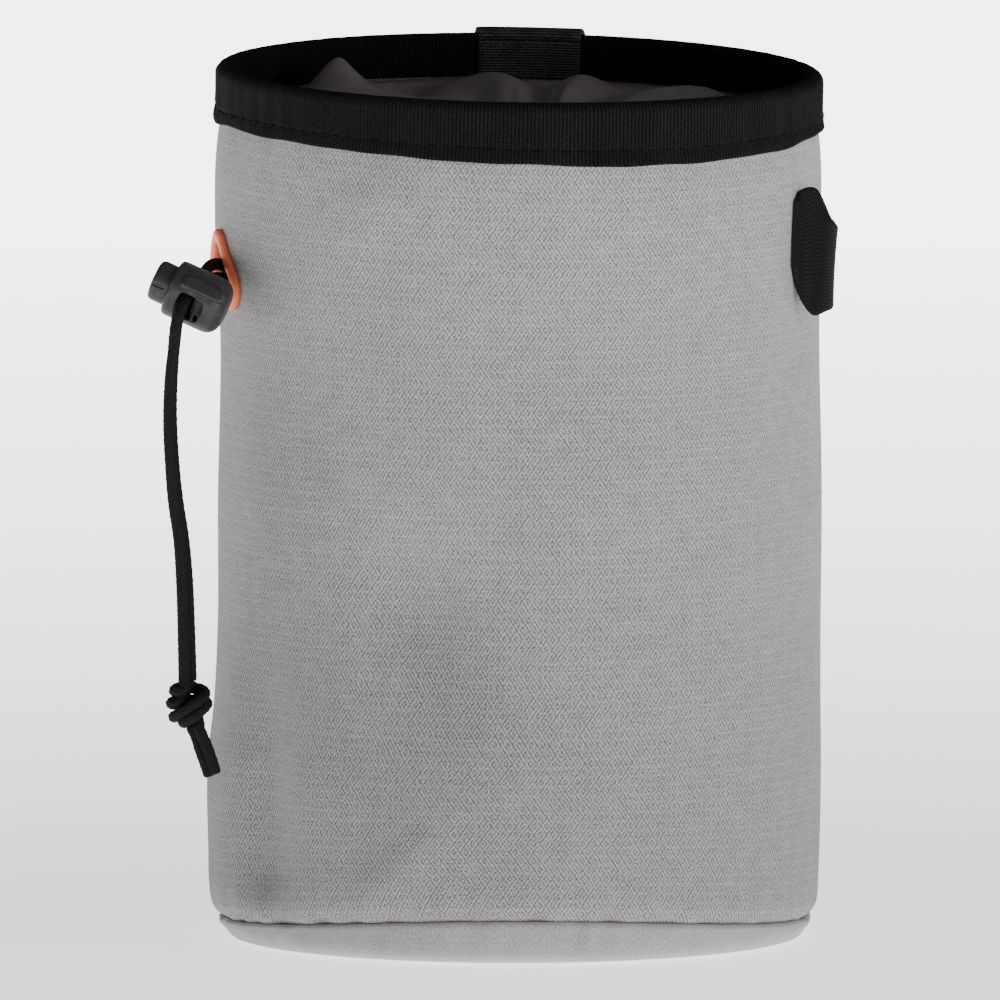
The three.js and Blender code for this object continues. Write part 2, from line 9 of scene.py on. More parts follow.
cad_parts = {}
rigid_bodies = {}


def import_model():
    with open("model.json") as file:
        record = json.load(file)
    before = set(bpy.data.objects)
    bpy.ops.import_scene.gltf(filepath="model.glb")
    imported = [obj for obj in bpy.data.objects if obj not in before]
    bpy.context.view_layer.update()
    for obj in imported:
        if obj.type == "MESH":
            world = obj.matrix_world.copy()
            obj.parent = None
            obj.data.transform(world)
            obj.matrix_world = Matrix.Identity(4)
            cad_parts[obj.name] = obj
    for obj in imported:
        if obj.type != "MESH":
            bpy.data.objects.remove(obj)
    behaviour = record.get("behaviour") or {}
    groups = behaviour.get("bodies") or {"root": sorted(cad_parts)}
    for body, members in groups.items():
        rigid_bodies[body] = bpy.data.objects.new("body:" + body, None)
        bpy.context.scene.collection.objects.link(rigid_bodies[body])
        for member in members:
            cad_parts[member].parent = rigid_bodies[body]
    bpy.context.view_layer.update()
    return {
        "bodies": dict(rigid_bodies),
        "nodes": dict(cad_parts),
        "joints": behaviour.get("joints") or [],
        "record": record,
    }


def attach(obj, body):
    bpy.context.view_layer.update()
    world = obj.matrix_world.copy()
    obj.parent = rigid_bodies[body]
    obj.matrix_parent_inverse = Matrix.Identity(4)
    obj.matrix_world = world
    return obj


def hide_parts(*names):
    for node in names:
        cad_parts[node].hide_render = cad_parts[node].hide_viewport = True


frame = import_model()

bl_info = {
    "name": "Chalk bag",
    "version": (1, 0, 0),
    "blender": (4, 5, 0),
    "location": "View3D > Sidebar > Chalk bag",
    "description": "Cloth, tapes, cords and lock of a climbing chalk bag, built round its solid parts",
    "category": "Object",
}

MM = 0.001

# Sections of the side wall: height and girth as shares, and the sideways shift as a share of the width
SECTIONS = np.array([
    (0.0, 1.0, -0.002),
    (0.038, 0.979, -0.003),
    (0.056, 1.001, -0.005),
    (0.075, 1.0075, -0.0065),
    (0.11, 1.0115, -0.006),
    (0.2, 1.0145, -0.0045),
    (0.27, 1.002, 0.001),
    (0.34, 0.995, 0.004),
    (0.51, 0.9934, 0.005),
    (0.69, 0.9884, 0.004),
    (0.82, 1.001, 0.001),
    (0.9, 0.998, 0.0025),
    (0.925, 0.99, 0.003),
    (0.94, 0.982, 0.0035),
    (1.0, 0.977, 0.005),
])

# Soft dents: azimuth and spread in degrees, height and reach as shares of the height, depth in cloth
# thicknesses, and slant in degrees for each whole height
DENTS = np.array([
    (-109, 0.41, 12, 0.1, 3.4, -60),
    (-146, 0.17, 8, 0.15, 2.8, 0),
    (-112, 0.1, 6, 0.06, -0.7, 120),
    (-121, 0.86, 8, 0.07, -0.7, 90),
    (-93, 0.58, 6, 0.14, 0.5, 0),
    (-18, 0.8, 8, 0.11, 1.0, 0),
    (60, 0.45, 14, 0.16, 0.9, 40),
    (128, 0.3, 12, 0.13, 0.8, -40),
])

# The webbing loop from its front foot to its back foot: azimuth in degrees, distance out as a share of its
# depth, and its upper and lower edge as shares of its height, from its top down
LOOP_ROWS = np.array([
    (-25.8, 0.0, 0.09, 0.64),
    (-23.0, 0.0, 0.02, 0.84),
    (-21.7, 0.5, 0.01, 1.04),
    (-20.6, 1.0, 0.29, 1.0),
    (-15.0, 0.66, 0.32, 0.96),
    (-9.0, 0.29, 0.32, 0.95),
    (-4.0, 0.0, 0.31, 0.95),
    (1.5, 0.0, 0.31, 0.95),
])

# The rim tape's lower edge outside: azimuth in degrees, and how far it rises above its even course in mm
TAPE_EDGE = np.array([
    (-180, 1.1), (-168, 1.2), (-158, 1.6), (-145, 1.5), (-130, 1.2), (-109, 0.6), (-90, 0.0), (-70, -0.4),
    (-58, -0.5), (-45, -0.1), (-33, 0.2), (-22, 0.9), (-8, 1.2), (10, 1.2), (45, 0.6), (90, 0.0), (135, 0.6),
    (165, 1.1), (180, 1.1),
])

# The drawcord's strands, in metres, from inside the wall to the knot
FRONT_STRAND = np.array([
    (-55, -11.8, 134.9), (-58.7, -13.7, 135.5), (-60, -16.9, 136), (-61.2, -21.2, 135.8),
    (-62.56, -27.1, 134.35),
    (-64.33, -32.6, 132.1), (-66.1, -38.1, 129.9), (-66.9, -39.9, 128.3), (-67.4, -40.7, 125.6),
    (-67.8, -40.85, 122), (-68.6, -40.9, 115), (-68.9, -40.9, 107), (-68.6, -40.9, 99), (-68, -40.8, 91),
    (-66.9, -40.7, 83), (-66.4, -40.6, 75), (-66.15, -40.5, 67), (-66, -40.4, 59), (-65.95, -40.35, 54.9),
]) * MM
BACK_STRAND = np.array([
    (-55, -12.6, 132.2), (-58.6, -14.8, 132.9), (-60.5, -17.7, 133.2), (-62, -21.4, 133),
    (-63.36, -26, 132.25),
    (-65.13, -31.5, 130), (-66.9, -37, 127.8), (-67.4, -37.9, 126.2), (-67.75, -38.2, 123.8),
    (-68, -38.3, 120.5), (-68.4, -38.35, 114), (-68.5, -38.35, 107), (-68.1, -38.35, 99), (-67.3, -38.3, 91),
    (-66.1, -38.2, 83), (-65.4, -38.15, 75), (-65.05, -38.1, 67), (-64.8, -38, 59), (-64.7, -37.95, 54.9),
]) * MM

# The two strands through the knot and on to their cut ends, in millimetres from the knot's middle
KNOT_MIDDLE = np.array((-65, -39.2, 49.8)) * MM
FRONT_TURNS = np.array([
    (-0.95, -1.15, 5.3), (-1.1, -1.7, 3.6), (-2.0, -1.7, 3.3), (-2.9, -0.2, 3.2), (-1.9, 1.9, 3.6),
    (0.6, 2.6, 3.5),
    (2.7, 1.0, 3.1), (2.9, -1.3, 2.4), (1.2, -2.9, 1.0), (-1.2, -2.7, -0.7), (-3.0, -0.7, -1.9),
    (-2.1, 1.5, -1.9),
    (0.2, 1.9, -1.7), (1.7, 0.2, -2.6), (2.0, -0.6, -4.4), (3.1, -0.6, -7.0), (4.2, -0.6, -10.0),
    (5.2, -0.4, -13.3),
]) * MM
BACK_TURNS = np.array([
    (0.3, 1.25, 5.3), (-0.6, 0.9, 3.4), (-1.9, -1.5, 1.1), (-3.5, -0.3, 0.7), (-2.6, 2.0, 0.9),
    (0.4, 2.9, 1.0),
    (3.1, 1.3, 0.9), (3.2, -1.2, 0.3), (1.1, -2.8, -1.5), (-0.9, -2.2, -2.7), (-1.0, -0.6, -3.0),
    (-0.6, 1.2, -3.0),
    (0.3, 1.4, -3.6), (0.7, 0.6, -4.6), (1.4, 0.5, -6.0), (2.2, 0.4, -8.6), (3.2, 0.3, -11.4),
    (4.0, 0.5, -13.9),
]) * MM

LOCK_CENTRE = Vector((-63.1, -32.3, 130.4)) * MM
LOCK_AXIS = Vector((0.906, -0.12, -0.405)).normalized()
LOCK_BORE_WAY = Vector((-0.286, -0.889, -0.358))

# The camera, and the point that it looks at
CAMERA_TARGET = Vector((-3.4, 0, 87.2)) * MM
CAMERA_DISTANCE = 4.0
CAMERA_ELEVATION = math.radians(5.5)
CAMERA_LENS = 720

# The strength of the sky, of the floor's own light, and of the lamps in watts
SKY = 0.06
FLOOR_GLOW = 5.0
FLOOR_NEAR = 0.29
KEY_WATTS = 10
FILL_WATTS = 0.2
TOP_WATTS = 1.1

# Where the middle of the eyelet lies round the bag, and the radius of its corners
EYELET_AZIMUTH = 193.5
EYELET_CORNER = 4.5 * MM

# The collar's run as cloth: its last frame, how much larger it is cut, the share of its weight that acts, and
# how far a point may move
CLOTH_LAST_FRAME = 26
CLOTH_SPARE = 0.16
CLOTH_WEIGHT = 0.05
CLOTH_REACH = 2.0 * MM

# How much lighter the strip's tape is painted than the rim's, though it is the same black tape: painted light
# that makes up for the shade the strip sits in
STRIP_PAINTED_LIGHT = 7.5

# How far the woven pattern and its painted glints lighten and darken the wall cloth
WEAVE_CONTRAST = 0.8


def length(name, description, default):
    """A length property in metres."""
    return bpy.props.FloatProperty(
        name=name, description=description, default=default, min=0.0, unit="LENGTH", precision=5
    )


def colour(name, description, default):
    """A colour property."""
    return bpy.props.FloatVectorProperty(
        name=name, description=description, default=default, size=3, min=0.0, max=1.0, subtype="COLOR"
    )


class ChalkBagSizes(bpy.types.PropertyGroup):
    """Sizes of the chalk bag."""

    height: length("Height", "Mean height of the rim over the surface it stands on", 174 * MM)
    width: length("Width", "Width across the cylinder that the bag is draped from", 121.2 * MM)
    depth: length("Depth", "Depth of that cylinder, front to back", 120 * MM)
    cloth: length("Cloth", "Thickness of the lined wall cloth", 1.4 * MM)
    gap: length("Gap", "Space between sewn pieces", 0.3 * MM)
    seam_height: length("Seam height", "Mean height of the seam between base and wall", 6.6 * MM)
    seam_wave: length("Seam wave", "How far the seam rises in front and sinks at the sides", 2.5 * MM)
    foot_radius: length("Foot radius", "Radius of the part of the base that touches the floor", 52 * MM)
    foot_wave: length("Foot wave", "How far the foot is longer sideways than front to back", 3.1 * MM)
    tape: length("Tape", "Thickness of the rim tape", 1.15 * MM)
    tape_outside: length("Tape outside", "Height of the rim tape outside", 12.2 * MM)
    tape_inside: length("Tape inside", "Height of the rim tape inside", 8.7 * MM)
    rim_tip: length("Rim tip", "How far the rim rises at the back and sinks in front", 2.75 * MM)
    rim_roll: length("Rim roll", "How far the rim sinks on the right", 1.0 * MM)
    rib: length("Rib", "Distance from rib to rib on the rim tape", 0.78 * MM)
    rib_height: length("Rib height", "How far the ribs of the rim tape stand up", 0.08 * MM)
    stitch: length("Stitch", "Distance from stitch to stitch", 3.1 * MM)
    thread: length("Thread", "Thickness of the sewing thread", 0.42 * MM)
    collar: length("Collar", "Thickness of the collar's cloth", 0.5 * MM)
    collar_rise: length("Collar rise", "How far the collar swells over its seam", 2.5 * MM)
    collar_drop: length("Collar drop", "How far the collar dips to its mouth", 9 * MM)
    mouth_radius: length("Mouth radius", "Radius of the gathered mouth", 14 * MM)
    strip_width: length("Strip width", "Width of the strip over the rim at the back", 22.6 * MM)
    strip: length("Strip", "Thickness of that strip", 0.9 * MM)
    belt_gap: length("Belt gap", "Room for a belt behind the strip", 7.6 * MM)
    belt_room: length("Belt room", "Height of the belt loop", 28 * MM)
    belt_foot: length("Belt foot", "Length of the strip's sewn lower end", 10 * MM)
    loop_height: length("Loop height", "Width of the webbing of the side loop", 25 * MM)
    loop_top: length("Loop top", "Height of the side loop's top", 153.5 * MM)
    loop_lean: bpy.props.FloatProperty(name="Loop lean", description="Share of its depth lost downwards",
                                       default=0.18)
    loop_tape: length("Loop tape", "Thickness of the side loop's webbing", 1.1 * MM)
    loop_depth: length("Loop depth", "How far the side loop stands out", 7.4 * MM)
    eyelet_width: length("Eyelet width", "Width of the moulded eyelet", 22 * MM)
    eyelet_height: length("Eyelet height", "Height of the moulded eyelet", 15.5 * MM)
    eyelet_band: length("Eyelet band", "Width of the eyelet's band", 2.6 * MM)
    eyelet_thick: length("Eyelet thickness", "How far the eyelet stands up", 1.1 * MM)
    eyelet_top: length("Eyelet top", "Height of the eyelet's tip", 142.5 * MM)
    lock_length: length("Lock length", "Length of the cord lock's barrel", 12 * MM)
    lock_diameter: length("Lock diameter", "Diameter of the cord lock's barrel", 11.5 * MM)
    lock_wall: length("Lock wall", "Wall of the cord lock's barrel", 1.3 * MM)
    button_stand: length("Button stand", "How far the button stands out", 3.7 * MM)
    button_travel: length("Button travel", "How far the button is pressed in", 2.4 * MM)
    cord: length("Cord", "Diameter of the drawcord", 2.4 * MM)
    weave_width: length("Weave width", "Width of one woven diamond", 2.4 * MM)
    weave_height: length("Weave height", "Height of one woven diamond", 3.8 * MM)
    yarn: length("Yarn", "Distance from yarn to yarn in the wall cloth", 0.47 * MM)


class ChalkBagColours(bpy.types.PropertyGroup):
    """Colours of the chalk bag."""

    cloth: colour("Cloth", "Grey wall cloth", (0.295, 0.283, 0.279))
    base: colour("Base", "Grey base cloth", (0.42, 0.395, 0.39))
    tape: colour("Tape", "Black ribbed tape", (0.0062, 0.0058, 0.006))
    thread: colour("Thread", "Black sewing thread", (0.005, 0.005, 0.005))
    satin: colour("Satin", "Dark collar cloth", (0.2, 0.165, 0.19))
    rubber: colour("Rubber", "Orange moulded rubber", (1.0, 0.2, 0.09))
    plastic: colour("Plastic", "Dark grey moulded plastic", (0.024, 0.024, 0.026))
    cord: colour("Cord", "Black braid", (0.005, 0.005, 0.0053))
    floor: colour("Floor", "Pale studio floor", (0.92, 0.92, 0.92))


def sizes():
    """The sizes as set in the panel."""
    return bpy.context.scene.chalk_bag_sizes


def colours():
    """The colours as set in the panel."""
    return bpy.context.scene.chalk_bag_colours


# Shapes as functions of arrays

def eased(low, high, value):
    """A soft step from 0 to 1: 3t^2 - 2t^3, where t is the value's share of the way from low to high."""
    t = np.clip((value - low) / (high - low), 0, 1)
    return t * t * (3 - 2 * t)


def bell(offset, spread):
    """A bump of height 1 that falls off on both sides: e to the power of minus (offset / spread) squared."""
    return np.exp(-((offset / spread) ** 2))


def wrapped(angle):
    """An angle in degrees, brought to between -180 and 180."""
    return (angle + 180) % 360 - 180


def through_rows(at, places, values):
    """A smooth curve through a table's rows: cubic pieces whose slope at each row is that of its
    neighbours."""
    slopes = np.gradient(values, places)
    i = np.clip(np.searchsorted(places, at) - 1, 0, len(places) - 2)
    step = places[i + 1] - places[i]
    t = np.clip((at - places[i]) / step, 0, 1)
    start = (1 + 2 * t) * (1 - t) ** 2 * values[i] + t * (1 - t) ** 2 * step * slopes[i]
    end = t * t * (3 - 2 * t) * values[i + 1] + t * t * (t - 1) * step * slopes[i + 1]
    return start + end


def waves(seed, count, turns, rises, azimuth, height):
    """An uneven, seamless surface from -1 to 1: the mean of cosines that turn a whole number of times round
    the bag and lean by so many turns for each metre of height, each with its own seeded phase."""
    chance = np.random.default_rng(seed)
    total = 0
    for _ in range(count):
        turn = chance.integers(turns[0], turns[1] + 1)
        rise = chance.uniform(-rises, rises)
        phase = chance.uniform(0, 2 * np.pi)
        total = total + np.cos(turn * azimuth + 2 * np.pi * rise * height + phase)
    return total / math.sqrt(count)


def dent(azimuth, height):
    """How far the wall is pressed in: the sum of slanted bells, faded out near the seam and the rim."""
    s = sizes()
    share = height / s.height
    depth = 0
    for middle, level, spread, reach, deep, slant in DENTS:
        up = share - level
        turn = wrapped(np.degrees(azimuth) - middle - slant * up)
        depth = depth + deep * s.cloth * bell(turn, spread) * bell(up, reach)
    return depth * eased(0.04, 0.1, share) * (1 - eased(0.88, 0.94, share))


def drape(azimuth, radius, height):
    """A place on the bag, from an azimuth in radians, a radius and a height on a plain cylinder: the radius
    times the girth at that height, less the dents, flattened along Y to the bag's depth, and the height with
    the seam's wave and the rim's tip added."""
    s = sizes()
    share = np.clip(height / s.height, 0, 1)
    girth = through_rows(share, SECTIONS[:, 0], SECTIONS[:, 1])
    shift = through_rows(share, SECTIONS[:, 0], SECTIONS[:, 2]) * s.width
    whole = s.width / 2
    part = radius / whole
    swing = np.cos(2 * azimuth)
    flat = (1 - eased(s.foot_radius, whole - s.cloth, radius)) * (1 - eased(s.seam_height,
                                                                            2 * s.seam_height, height))
    foot = 1 + s.foot_wave / s.foot_radius * swing * flat
    out = radius * girth * foot - part * dent(azimuth, height)
    x = out * np.cos(azimuth)
    y = out * np.sin(azimuth) * s.depth / s.width
    seam = eased(s.cloth, s.seam_height, height) * (1 - eased(s.seam_height, 7 * s.seam_height, height))
    tip = eased(0.45 * s.height, s.height, height)
    lift = -seam * s.seam_wave * swing + tip * (s.rim_tip * y - s.rim_roll * x) / whole
    return np.stack(np.broadcast_arrays(x + shift, y, height + lift), axis=-1)


def folds(azimuth, height):
    """The wall cloth's unevenness: broad waves, puckers under the rim tape and tucks over the seam."""
    s = sizes()
    broad = 0.22 * MM * waves(5, 16, (2, 13), 12, azimuth, height)
    low_edge = s.height - s.tape_outside
    puckers = 0.2 * MM * waves(11, 9, (22, 46), 4, azimuth,
                               height) * np.exp(-np.abs(low_edge - height) / (8 * MM))
    tucks = 0.3 * MM * waves(23, 9, (26, 60), 8, azimuth,
                             height) * np.exp(-np.abs(height - s.seam_height) / (6 * MM))
    fade = eased(s.seam_height, 2 * s.seam_height, height) * (1 - eased(0.93 * s.height, s.height, height))
    return broad * fade + puckers + tucks


def unit(vectors):
    """Vectors made 1 long."""
    return vectors / np.linalg.norm(vectors, axis=-1, keepdims=True)


def smooth_route(points, spacing):
    """A Catmull-Rom curve through points, cut at even distances near the spacing."""
    ends = np.vstack([2 * points[0] - points[1], points, 2 * points[-1] - points[-2]])
    t = np.linspace(0, 1, 24, endpoint=False)[None, :, None]
    a, b, c, d = (ends[k:len(ends) - 3 + k, None, :] for k in range(4))
    curve = 0.5 * (2 * b + (c - a) * t + (2 * a - 5 * b + 4 * c - d) * t ** 2 + (3 * b - a - 3 * c + d)
                   * t ** 3)
    curve = np.vstack([curve.reshape(-1, points.shape[1]), points[-1:]])
    far = np.concatenate([[0], np.cumsum(np.linalg.norm(np.diff(curve, axis=0), axis=1))])
    at = np.linspace(0, far[-1], max(2, round(far[-1] / spacing) + 1))
    return np.stack([np.interp(at, far, column) for column in curve.T], axis=1)


def route_frames(route):
    """Each station's way forward and two ways sideways, carried along so that they don't twist."""
    forward = unit(np.gradient(route, axis=0))
    side = np.zeros_like(route)
    start = np.cross(forward[0], (0.31, 0.17, 0.93))
    side[0] = start / np.linalg.norm(start)
    for k in range(1, len(route)):
        carried = side[k - 1] - forward[k] * np.dot(side[k - 1], forward[k])
        side[k] = carried / np.linalg.norm(carried)
    return forward, side, np.cross(forward, side)


def band_section(width, thickness, across, edge):
    """A band's cross-section as a closed loop: out along its face, round a half circle at each edge, and
    back. It gives the distances across and up from the band's inner face."""
    half = width / 2 - thickness / 2
    line = np.linspace(-half, half, across)
    turn = np.linspace(0, np.pi, edge + 2)[1:-1]
    rise = thickness / 2
    a = np.concatenate([line, half + rise * np.sin(turn), line[::-1], -half - rise * np.sin(turn)])
    o = np.concatenate([np.full(across, thickness), rise + rise * np.cos(turn), np.zeros(across),
                        rise - rise * np.cos(turn)])
    return a, o


# Meshes

def skin(name, grid, around, uv=None, poles=False):
    """A closed mesh over a grid of points, stations by loop. The loop is closed, or with poles its two ends
    are points. The stations are closed where around is set, or else capped. The faces are turned outwards."""
    stations, loop = grid.shape[:2]
    i, j = np.meshgrid(np.arange(stations - (not around)), np.arange(loop - poles), indexing="ij")
    steps = [(i, j), (i + 1, j), (i + 1, j + 1), (i, j + 1)]
    quads = np.stack([(a % stations) * loop + b % loop for a, b in steps], axis=-1).reshape(-1, 4)
    corners = np.stack([a * (loop + 1 - poles) + b for a, b in steps], axis=-1).reshape(-1, 4)
    points = grid.reshape(-1, 3)
    p = points[quads]
    inward = np.sum(p[:, 0] * (np.cross(p[:, 1], p[:, 2]) + np.cross(p[:, 2], p[:, 3]))) < 0
    caps = [] if around else [np.arange(loop)[::-1], (stations - 1) * loop + np.arange(loop)]
    if around is False:
        q = points[caps[0]]
        away = np.cross(q[1] - q[0], q[loop // 2] - q[0]) @ (points[caps[1]].mean(0) - q.mean(0))
        inward = away > 0
    if inward:
        quads, corners, caps = quads[:, ::-1], corners[:, ::-1], [c[::-1] for c in caps]
    mesh = bpy.data.meshes.new(name)
    mesh.vertices.add(len(points))
    mesh.vertices.foreach_set("co", points.astype(np.float32).ravel())
    indices = np.concatenate([quads.ravel(), *caps]).astype(np.int32)
    counts = np.concatenate([np.full(len(quads), 4), [len(c) for c in caps]]).astype(np.int32)
    mesh.loops.add(len(indices))
    mesh.loops.foreach_set("vertex_index", indices)
    mesh.polygons.add(len(counts))
    mesh.polygons.foreach_set("loop_start", np.concatenate([[0], np.cumsum(counts)[:-1]]).astype(np.int32))
    mesh.update(calc_edges=True)
    mesh.polygons.foreach_set("use_smooth", np.arange(len(counts)) < len(quads))
    if uv is not None:
        flat = np.zeros((len(indices), 2), np.float32)
        flat[:quads.size] = uv.reshape(-1, 2)[corners.ravel()]
        mesh.uv_layers.new(name="UVMap").data.foreach_set("uv", flat.ravel())
    if poles:
        made = bmesh.new()
        made.from_mesh(mesh)
        bmesh.ops.remove_doubles(made, verts=made.verts, dist=1e-7)
        made.to_mesh(mesh)
        made.free()
    return mesh


def shown(name, mesh, material, body, replaces=()):
    """Puts a mesh in the scene as a piece that rides on a body and takes its finish from a slot."""
    piece = bpy.data.objects.new(name, mesh)
    bpy.context.scene.collection.objects.link(piece)
    if material is not None:
        mesh.materials.clear()
        mesh.materials.append(material)
    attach(piece, body)
    if replaces:
        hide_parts(*replaces)
    return piece


def joined(name, meshes):
    """Several meshes as one."""
    made = bmesh.new()
    for mesh in meshes:
        made.from_mesh(mesh)
    whole = bpy.data.meshes.new(name)
    made.to_mesh(whole)
    made.free()
    return whole


def with_modifiers(name, mesh, modifiers):
    """A mesh after a list of modifiers, each given as its type and settings."""
    thing = bpy.data.objects.new(name, mesh)
    bpy.context.scene.collection.objects.link(thing)
    for kind, settings in modifiers:
        modifier = thing.modifiers.new(kind.lower(), kind)
        for key, value in settings.items():
            setattr(modifier, key, value)
    bpy.context.view_layer.update()
    evaluated = thing.evaluated_get(bpy.context.evaluated_depsgraph_get())
    made = bpy.data.meshes.new_from_object(evaluated)
    made.name = name
    bpy.data.objects.remove(thing)
    return made


def cut_or_joined(name, mesh, others):
    """A mesh after booleans, each given as an operation and the mesh that cuts or joins it."""
    helpers = []
    steps = []
    for operation, other in others:
        helper = bpy.data.objects.new("helper", other)
        bpy.context.scene.collection.objects.link(helper)
        helpers.append(helper)
        steps.append(("BOOLEAN", {"operation": operation, "object": helper, "solver": "EXACT"}))
    made = with_modifiers(name, mesh, steps)
    for helper in helpers:
        bpy.data.objects.remove(helper)
    return made


# Shaders

class Number:
    """A number that varies over a surface. Its operators add Math nodes to its finish."""

    def __init__(self, finish, socket):
        self.finish = finish
        self.socket = socket

    def __add__(self, other):
        return self.finish.maths("ADD", self, other)

    def __sub__(self, other):
        return self.finish.maths("SUBTRACT", self, other)

    def __rsub__(self, other):
        return self.finish.maths("SUBTRACT", other, self)

    def __mul__(self, other):
        return self.finish.maths("MULTIPLY", self, other)

    def __truediv__(self, other):
        return self.finish.maths("DIVIDE", self, other)

    def __pow__(self, other):
        return self.finish.maths("POWER", self, other)

    __radd__ = __add__
    __rmul__ = __mul__

    def do(self, operation, *others):
        """Any other operation of the Math node."""
        return self.finish.maths(operation, self, *others)


class Finish:
    """A material and the nodes that are being added to it."""

    def __init__(self, name):
        self.material = bpy.data.materials.new(name)
        self.material.use_nodes = True
        self.tree = self.material.node_tree
        self.tree.nodes.clear()

    def node(self, kind, settings=None, inputs=None):
        """A node of a type, with its settings, then the values or links of its sockets."""
        made = self.tree.nodes.new(kind)
        for key, value in (settings or {}).items():
            setattr(made, key, value)
        for key, value in (inputs or {}).items():
            socket = value.socket if isinstance(value, Number) else value
            if isinstance(socket, bpy.types.NodeSocket):
                self.tree.links.new(socket, made.inputs[key])
            else:
                made.inputs[key].default_value = socket
        return made

    def maths(self, operation, *values):
        """A Math node on numbers or sockets."""
        made = self.node("ShaderNodeMath", {"operation": operation}, dict(enumerate(values)))
        return Number(self, made.outputs[0])

    def cloth_place(self, width, height):
        """The piece's own UV map, which is in metres, counted in repeats of a width and a height."""
        place = self.node("ShaderNodeUVMap", {"uv_map": "UVMap"})
        parts = self.node("ShaderNodeSeparateXYZ", None, {0: place.outputs[0]})
        return Number(self, parts.outputs[0]) / width, Number(self, parts.outputs[1]) / height

    def grain(self, size, detail=2.0, own_map=False):
        """Noise from 0 to 1 whose lumps are about a size in metres, on Object coordinates or the UV map."""
        if own_map:
            place = self.node("ShaderNodeUVMap", {"uv_map": "UVMap"}).outputs[0]
        else:
            place = self.node("ShaderNodeTexCoord").outputs["Object"]
        noise = self.node("ShaderNodeTexNoise", None, {"Vector": place, "Scale": 1 / size, "Detail": detail})
        return Number(self, noise.outputs[0])

    def between(self, factor, first, second):
        """A colour mixed from two, by a factor from 0 to 1."""
        made = self.node("ShaderNodeMix", {"data_type": "RGBA"}, {0: factor, 6: first, 7: second})
        return made.outputs[2]

    def surface(self, base_colour, roughness, height=None, depth=1e-4, strength=1.0, **uniform):
        """The surface shader, with a bump from a height that is 1 at the depth given in metres."""
        inputs = {"Base Color": base_colour, "Roughness": roughness}
        if height is not None:
            bump = self.node("ShaderNodeBump", None,
                             {"Height": height, "Distance": depth, "Strength": strength})
            inputs["Normal"] = bump.outputs[0]
        inputs.update({key.replace("_", " ").title().replace("Ior", "IOR"): value for key,
                       value in uniform.items()})
        shader = self.node("ShaderNodeBsdfPrincipled", None, inputs)
        self.node("ShaderNodeOutputMaterial", None, {"Surface": shader.outputs[0]})
        return self.material


def shade(rgb, times):
    """A colour made lighter or darker."""
    return tuple(min(1.0, part * times) for part in rgb) + (1.0,)


def sine(number, phase=0.0):
    """A wave of a number, once for each whole step, from -1 to 1."""
    return ((number + phase) * (2 * math.pi)).do("SINE")


def diamond_cloth():
    """Grey dobby cloth: rings of woven diamonds, with yarns across them, small floats and a soft fade, and
    painted glints that make the floats and fine lumps of the weave lighter."""
    s = sizes()
    finish = Finish("wall cloth")
    u, v = finish.cloth_place(s.weave_width, s.weave_height)
    first = ((u + v).do("FRACT") * 2 - 1).do("ABSOLUTE")
    second = ((u - v).do("FRACT") * 2 - 1).do("ABSOLUTE")
    ring = sine(first.do("MAXIMUM", second) * 1.5, 0.25)
    along, up = finish.cloth_place(0.8 * MM, 1.15 * MM)
    floats = sine(along) * sine(up)
    lumps_and_glints = finish.grain(0.42 * MM, 2.0, own_map=True) - 0.5
    broad = finish.grain(3.5 * MM, 2.0, own_map=True) - 0.5
    height = ring * 0.3 + floats * 0.3 + lumps_and_glints * 2.2
    mottled = finish.grain(22 * MM, 3.0) - 0.5
    # The tone follows the weave's pattern, with painted glints where the floats and fine lumps stand up.
    tone = height * WEAVE_CONTRAST + mottled * 0.18 + broad * 0.3 + 0.45
    rgb = finish.between(tone.do("MINIMUM", 1.0).do("MAXIMUM", 0.0), shade(colours().cloth, 0.4),
                         shade(colours().cloth, 1.75))
    return finish.surface(
        rgb, 0.75 + lumps_and_glints * 0.2, height, 0.09 * MM, 0.8, sheen_weight=0.12, sheen_roughness=0.5,
        specular_ior_level=0.3,
    )


def base_cloth():
    """Grey plain cloth: a fine twill, with a soft mottle."""
    s = sizes()
    finish = Finish("base cloth")
    along, up = finish.cloth_place(s.yarn, s.yarn)
    twill = sine(along + up * 0.5) * 0.5 + sine(up - along * 0.5) * 0.3
    patchy = finish.grain(0.45 * MM, 2.0, own_map=True) - 0.5
    height = twill * 0.8 + patchy * 1.8
    mottled = finish.grain(14 * MM, 3.0)
    tone = height * 0.75 + (mottled - 0.5) * 0.25 + 0.45
    tone = tone.do("MAXIMUM", 0.0).do("MINIMUM", 1.0)
    rgb = finish.between(tone, shade(colours().base, 0.62), shade(colours().base, 1.45))
    return finish.surface(rgb, 0.75, height, 0.08 * MM, 0.8, sheen_weight=0.15, specular_ior_level=0.3)


def ribbed_tape(name, rib, light=1.0):
    """Black grosgrain: ribs along the map's first way, crossed by fine yarns, with painted highlights on the
    crests of the ribs and yarns, painted shade between them, and broad patches of wear.
    """
    finish = Finish(name)
    along, up = finish.cloth_place(rib, 0.45 * MM)
    ribs = sine(along)
    yarns = sine(up + along.do("ROUND") * 0.5)
    fuzz = finish.grain(0.35 * MM, 2.0) - 0.5
    height = ribs * 0.4 + yarns * 0.35 + fuzz * 1.3
    wear = finish.grain(9 * MM, 3.0) - 0.5
    # Painted highlights and shade: the crests of the ribs and yarns are lighter and the grooves darker. The
    # broad patches add random wear.
    tone = (height * 0.7 + wear * 0.35 + 0.18).do("MAXIMUM", 0.0).do("MINIMUM", 1.0)
    # A light factor above 1 paints a lighter copy of the same tape, as on the strip.
    rgb = finish.between(tone, shade(colours().tape, 0.08 * light), shade(colours().tape, 4.4 * light))
    return finish.surface(rgb, 0.72 + fuzz * 0.2, height, 0.16 * MM, 0.9, specular_ior_level=0.1)


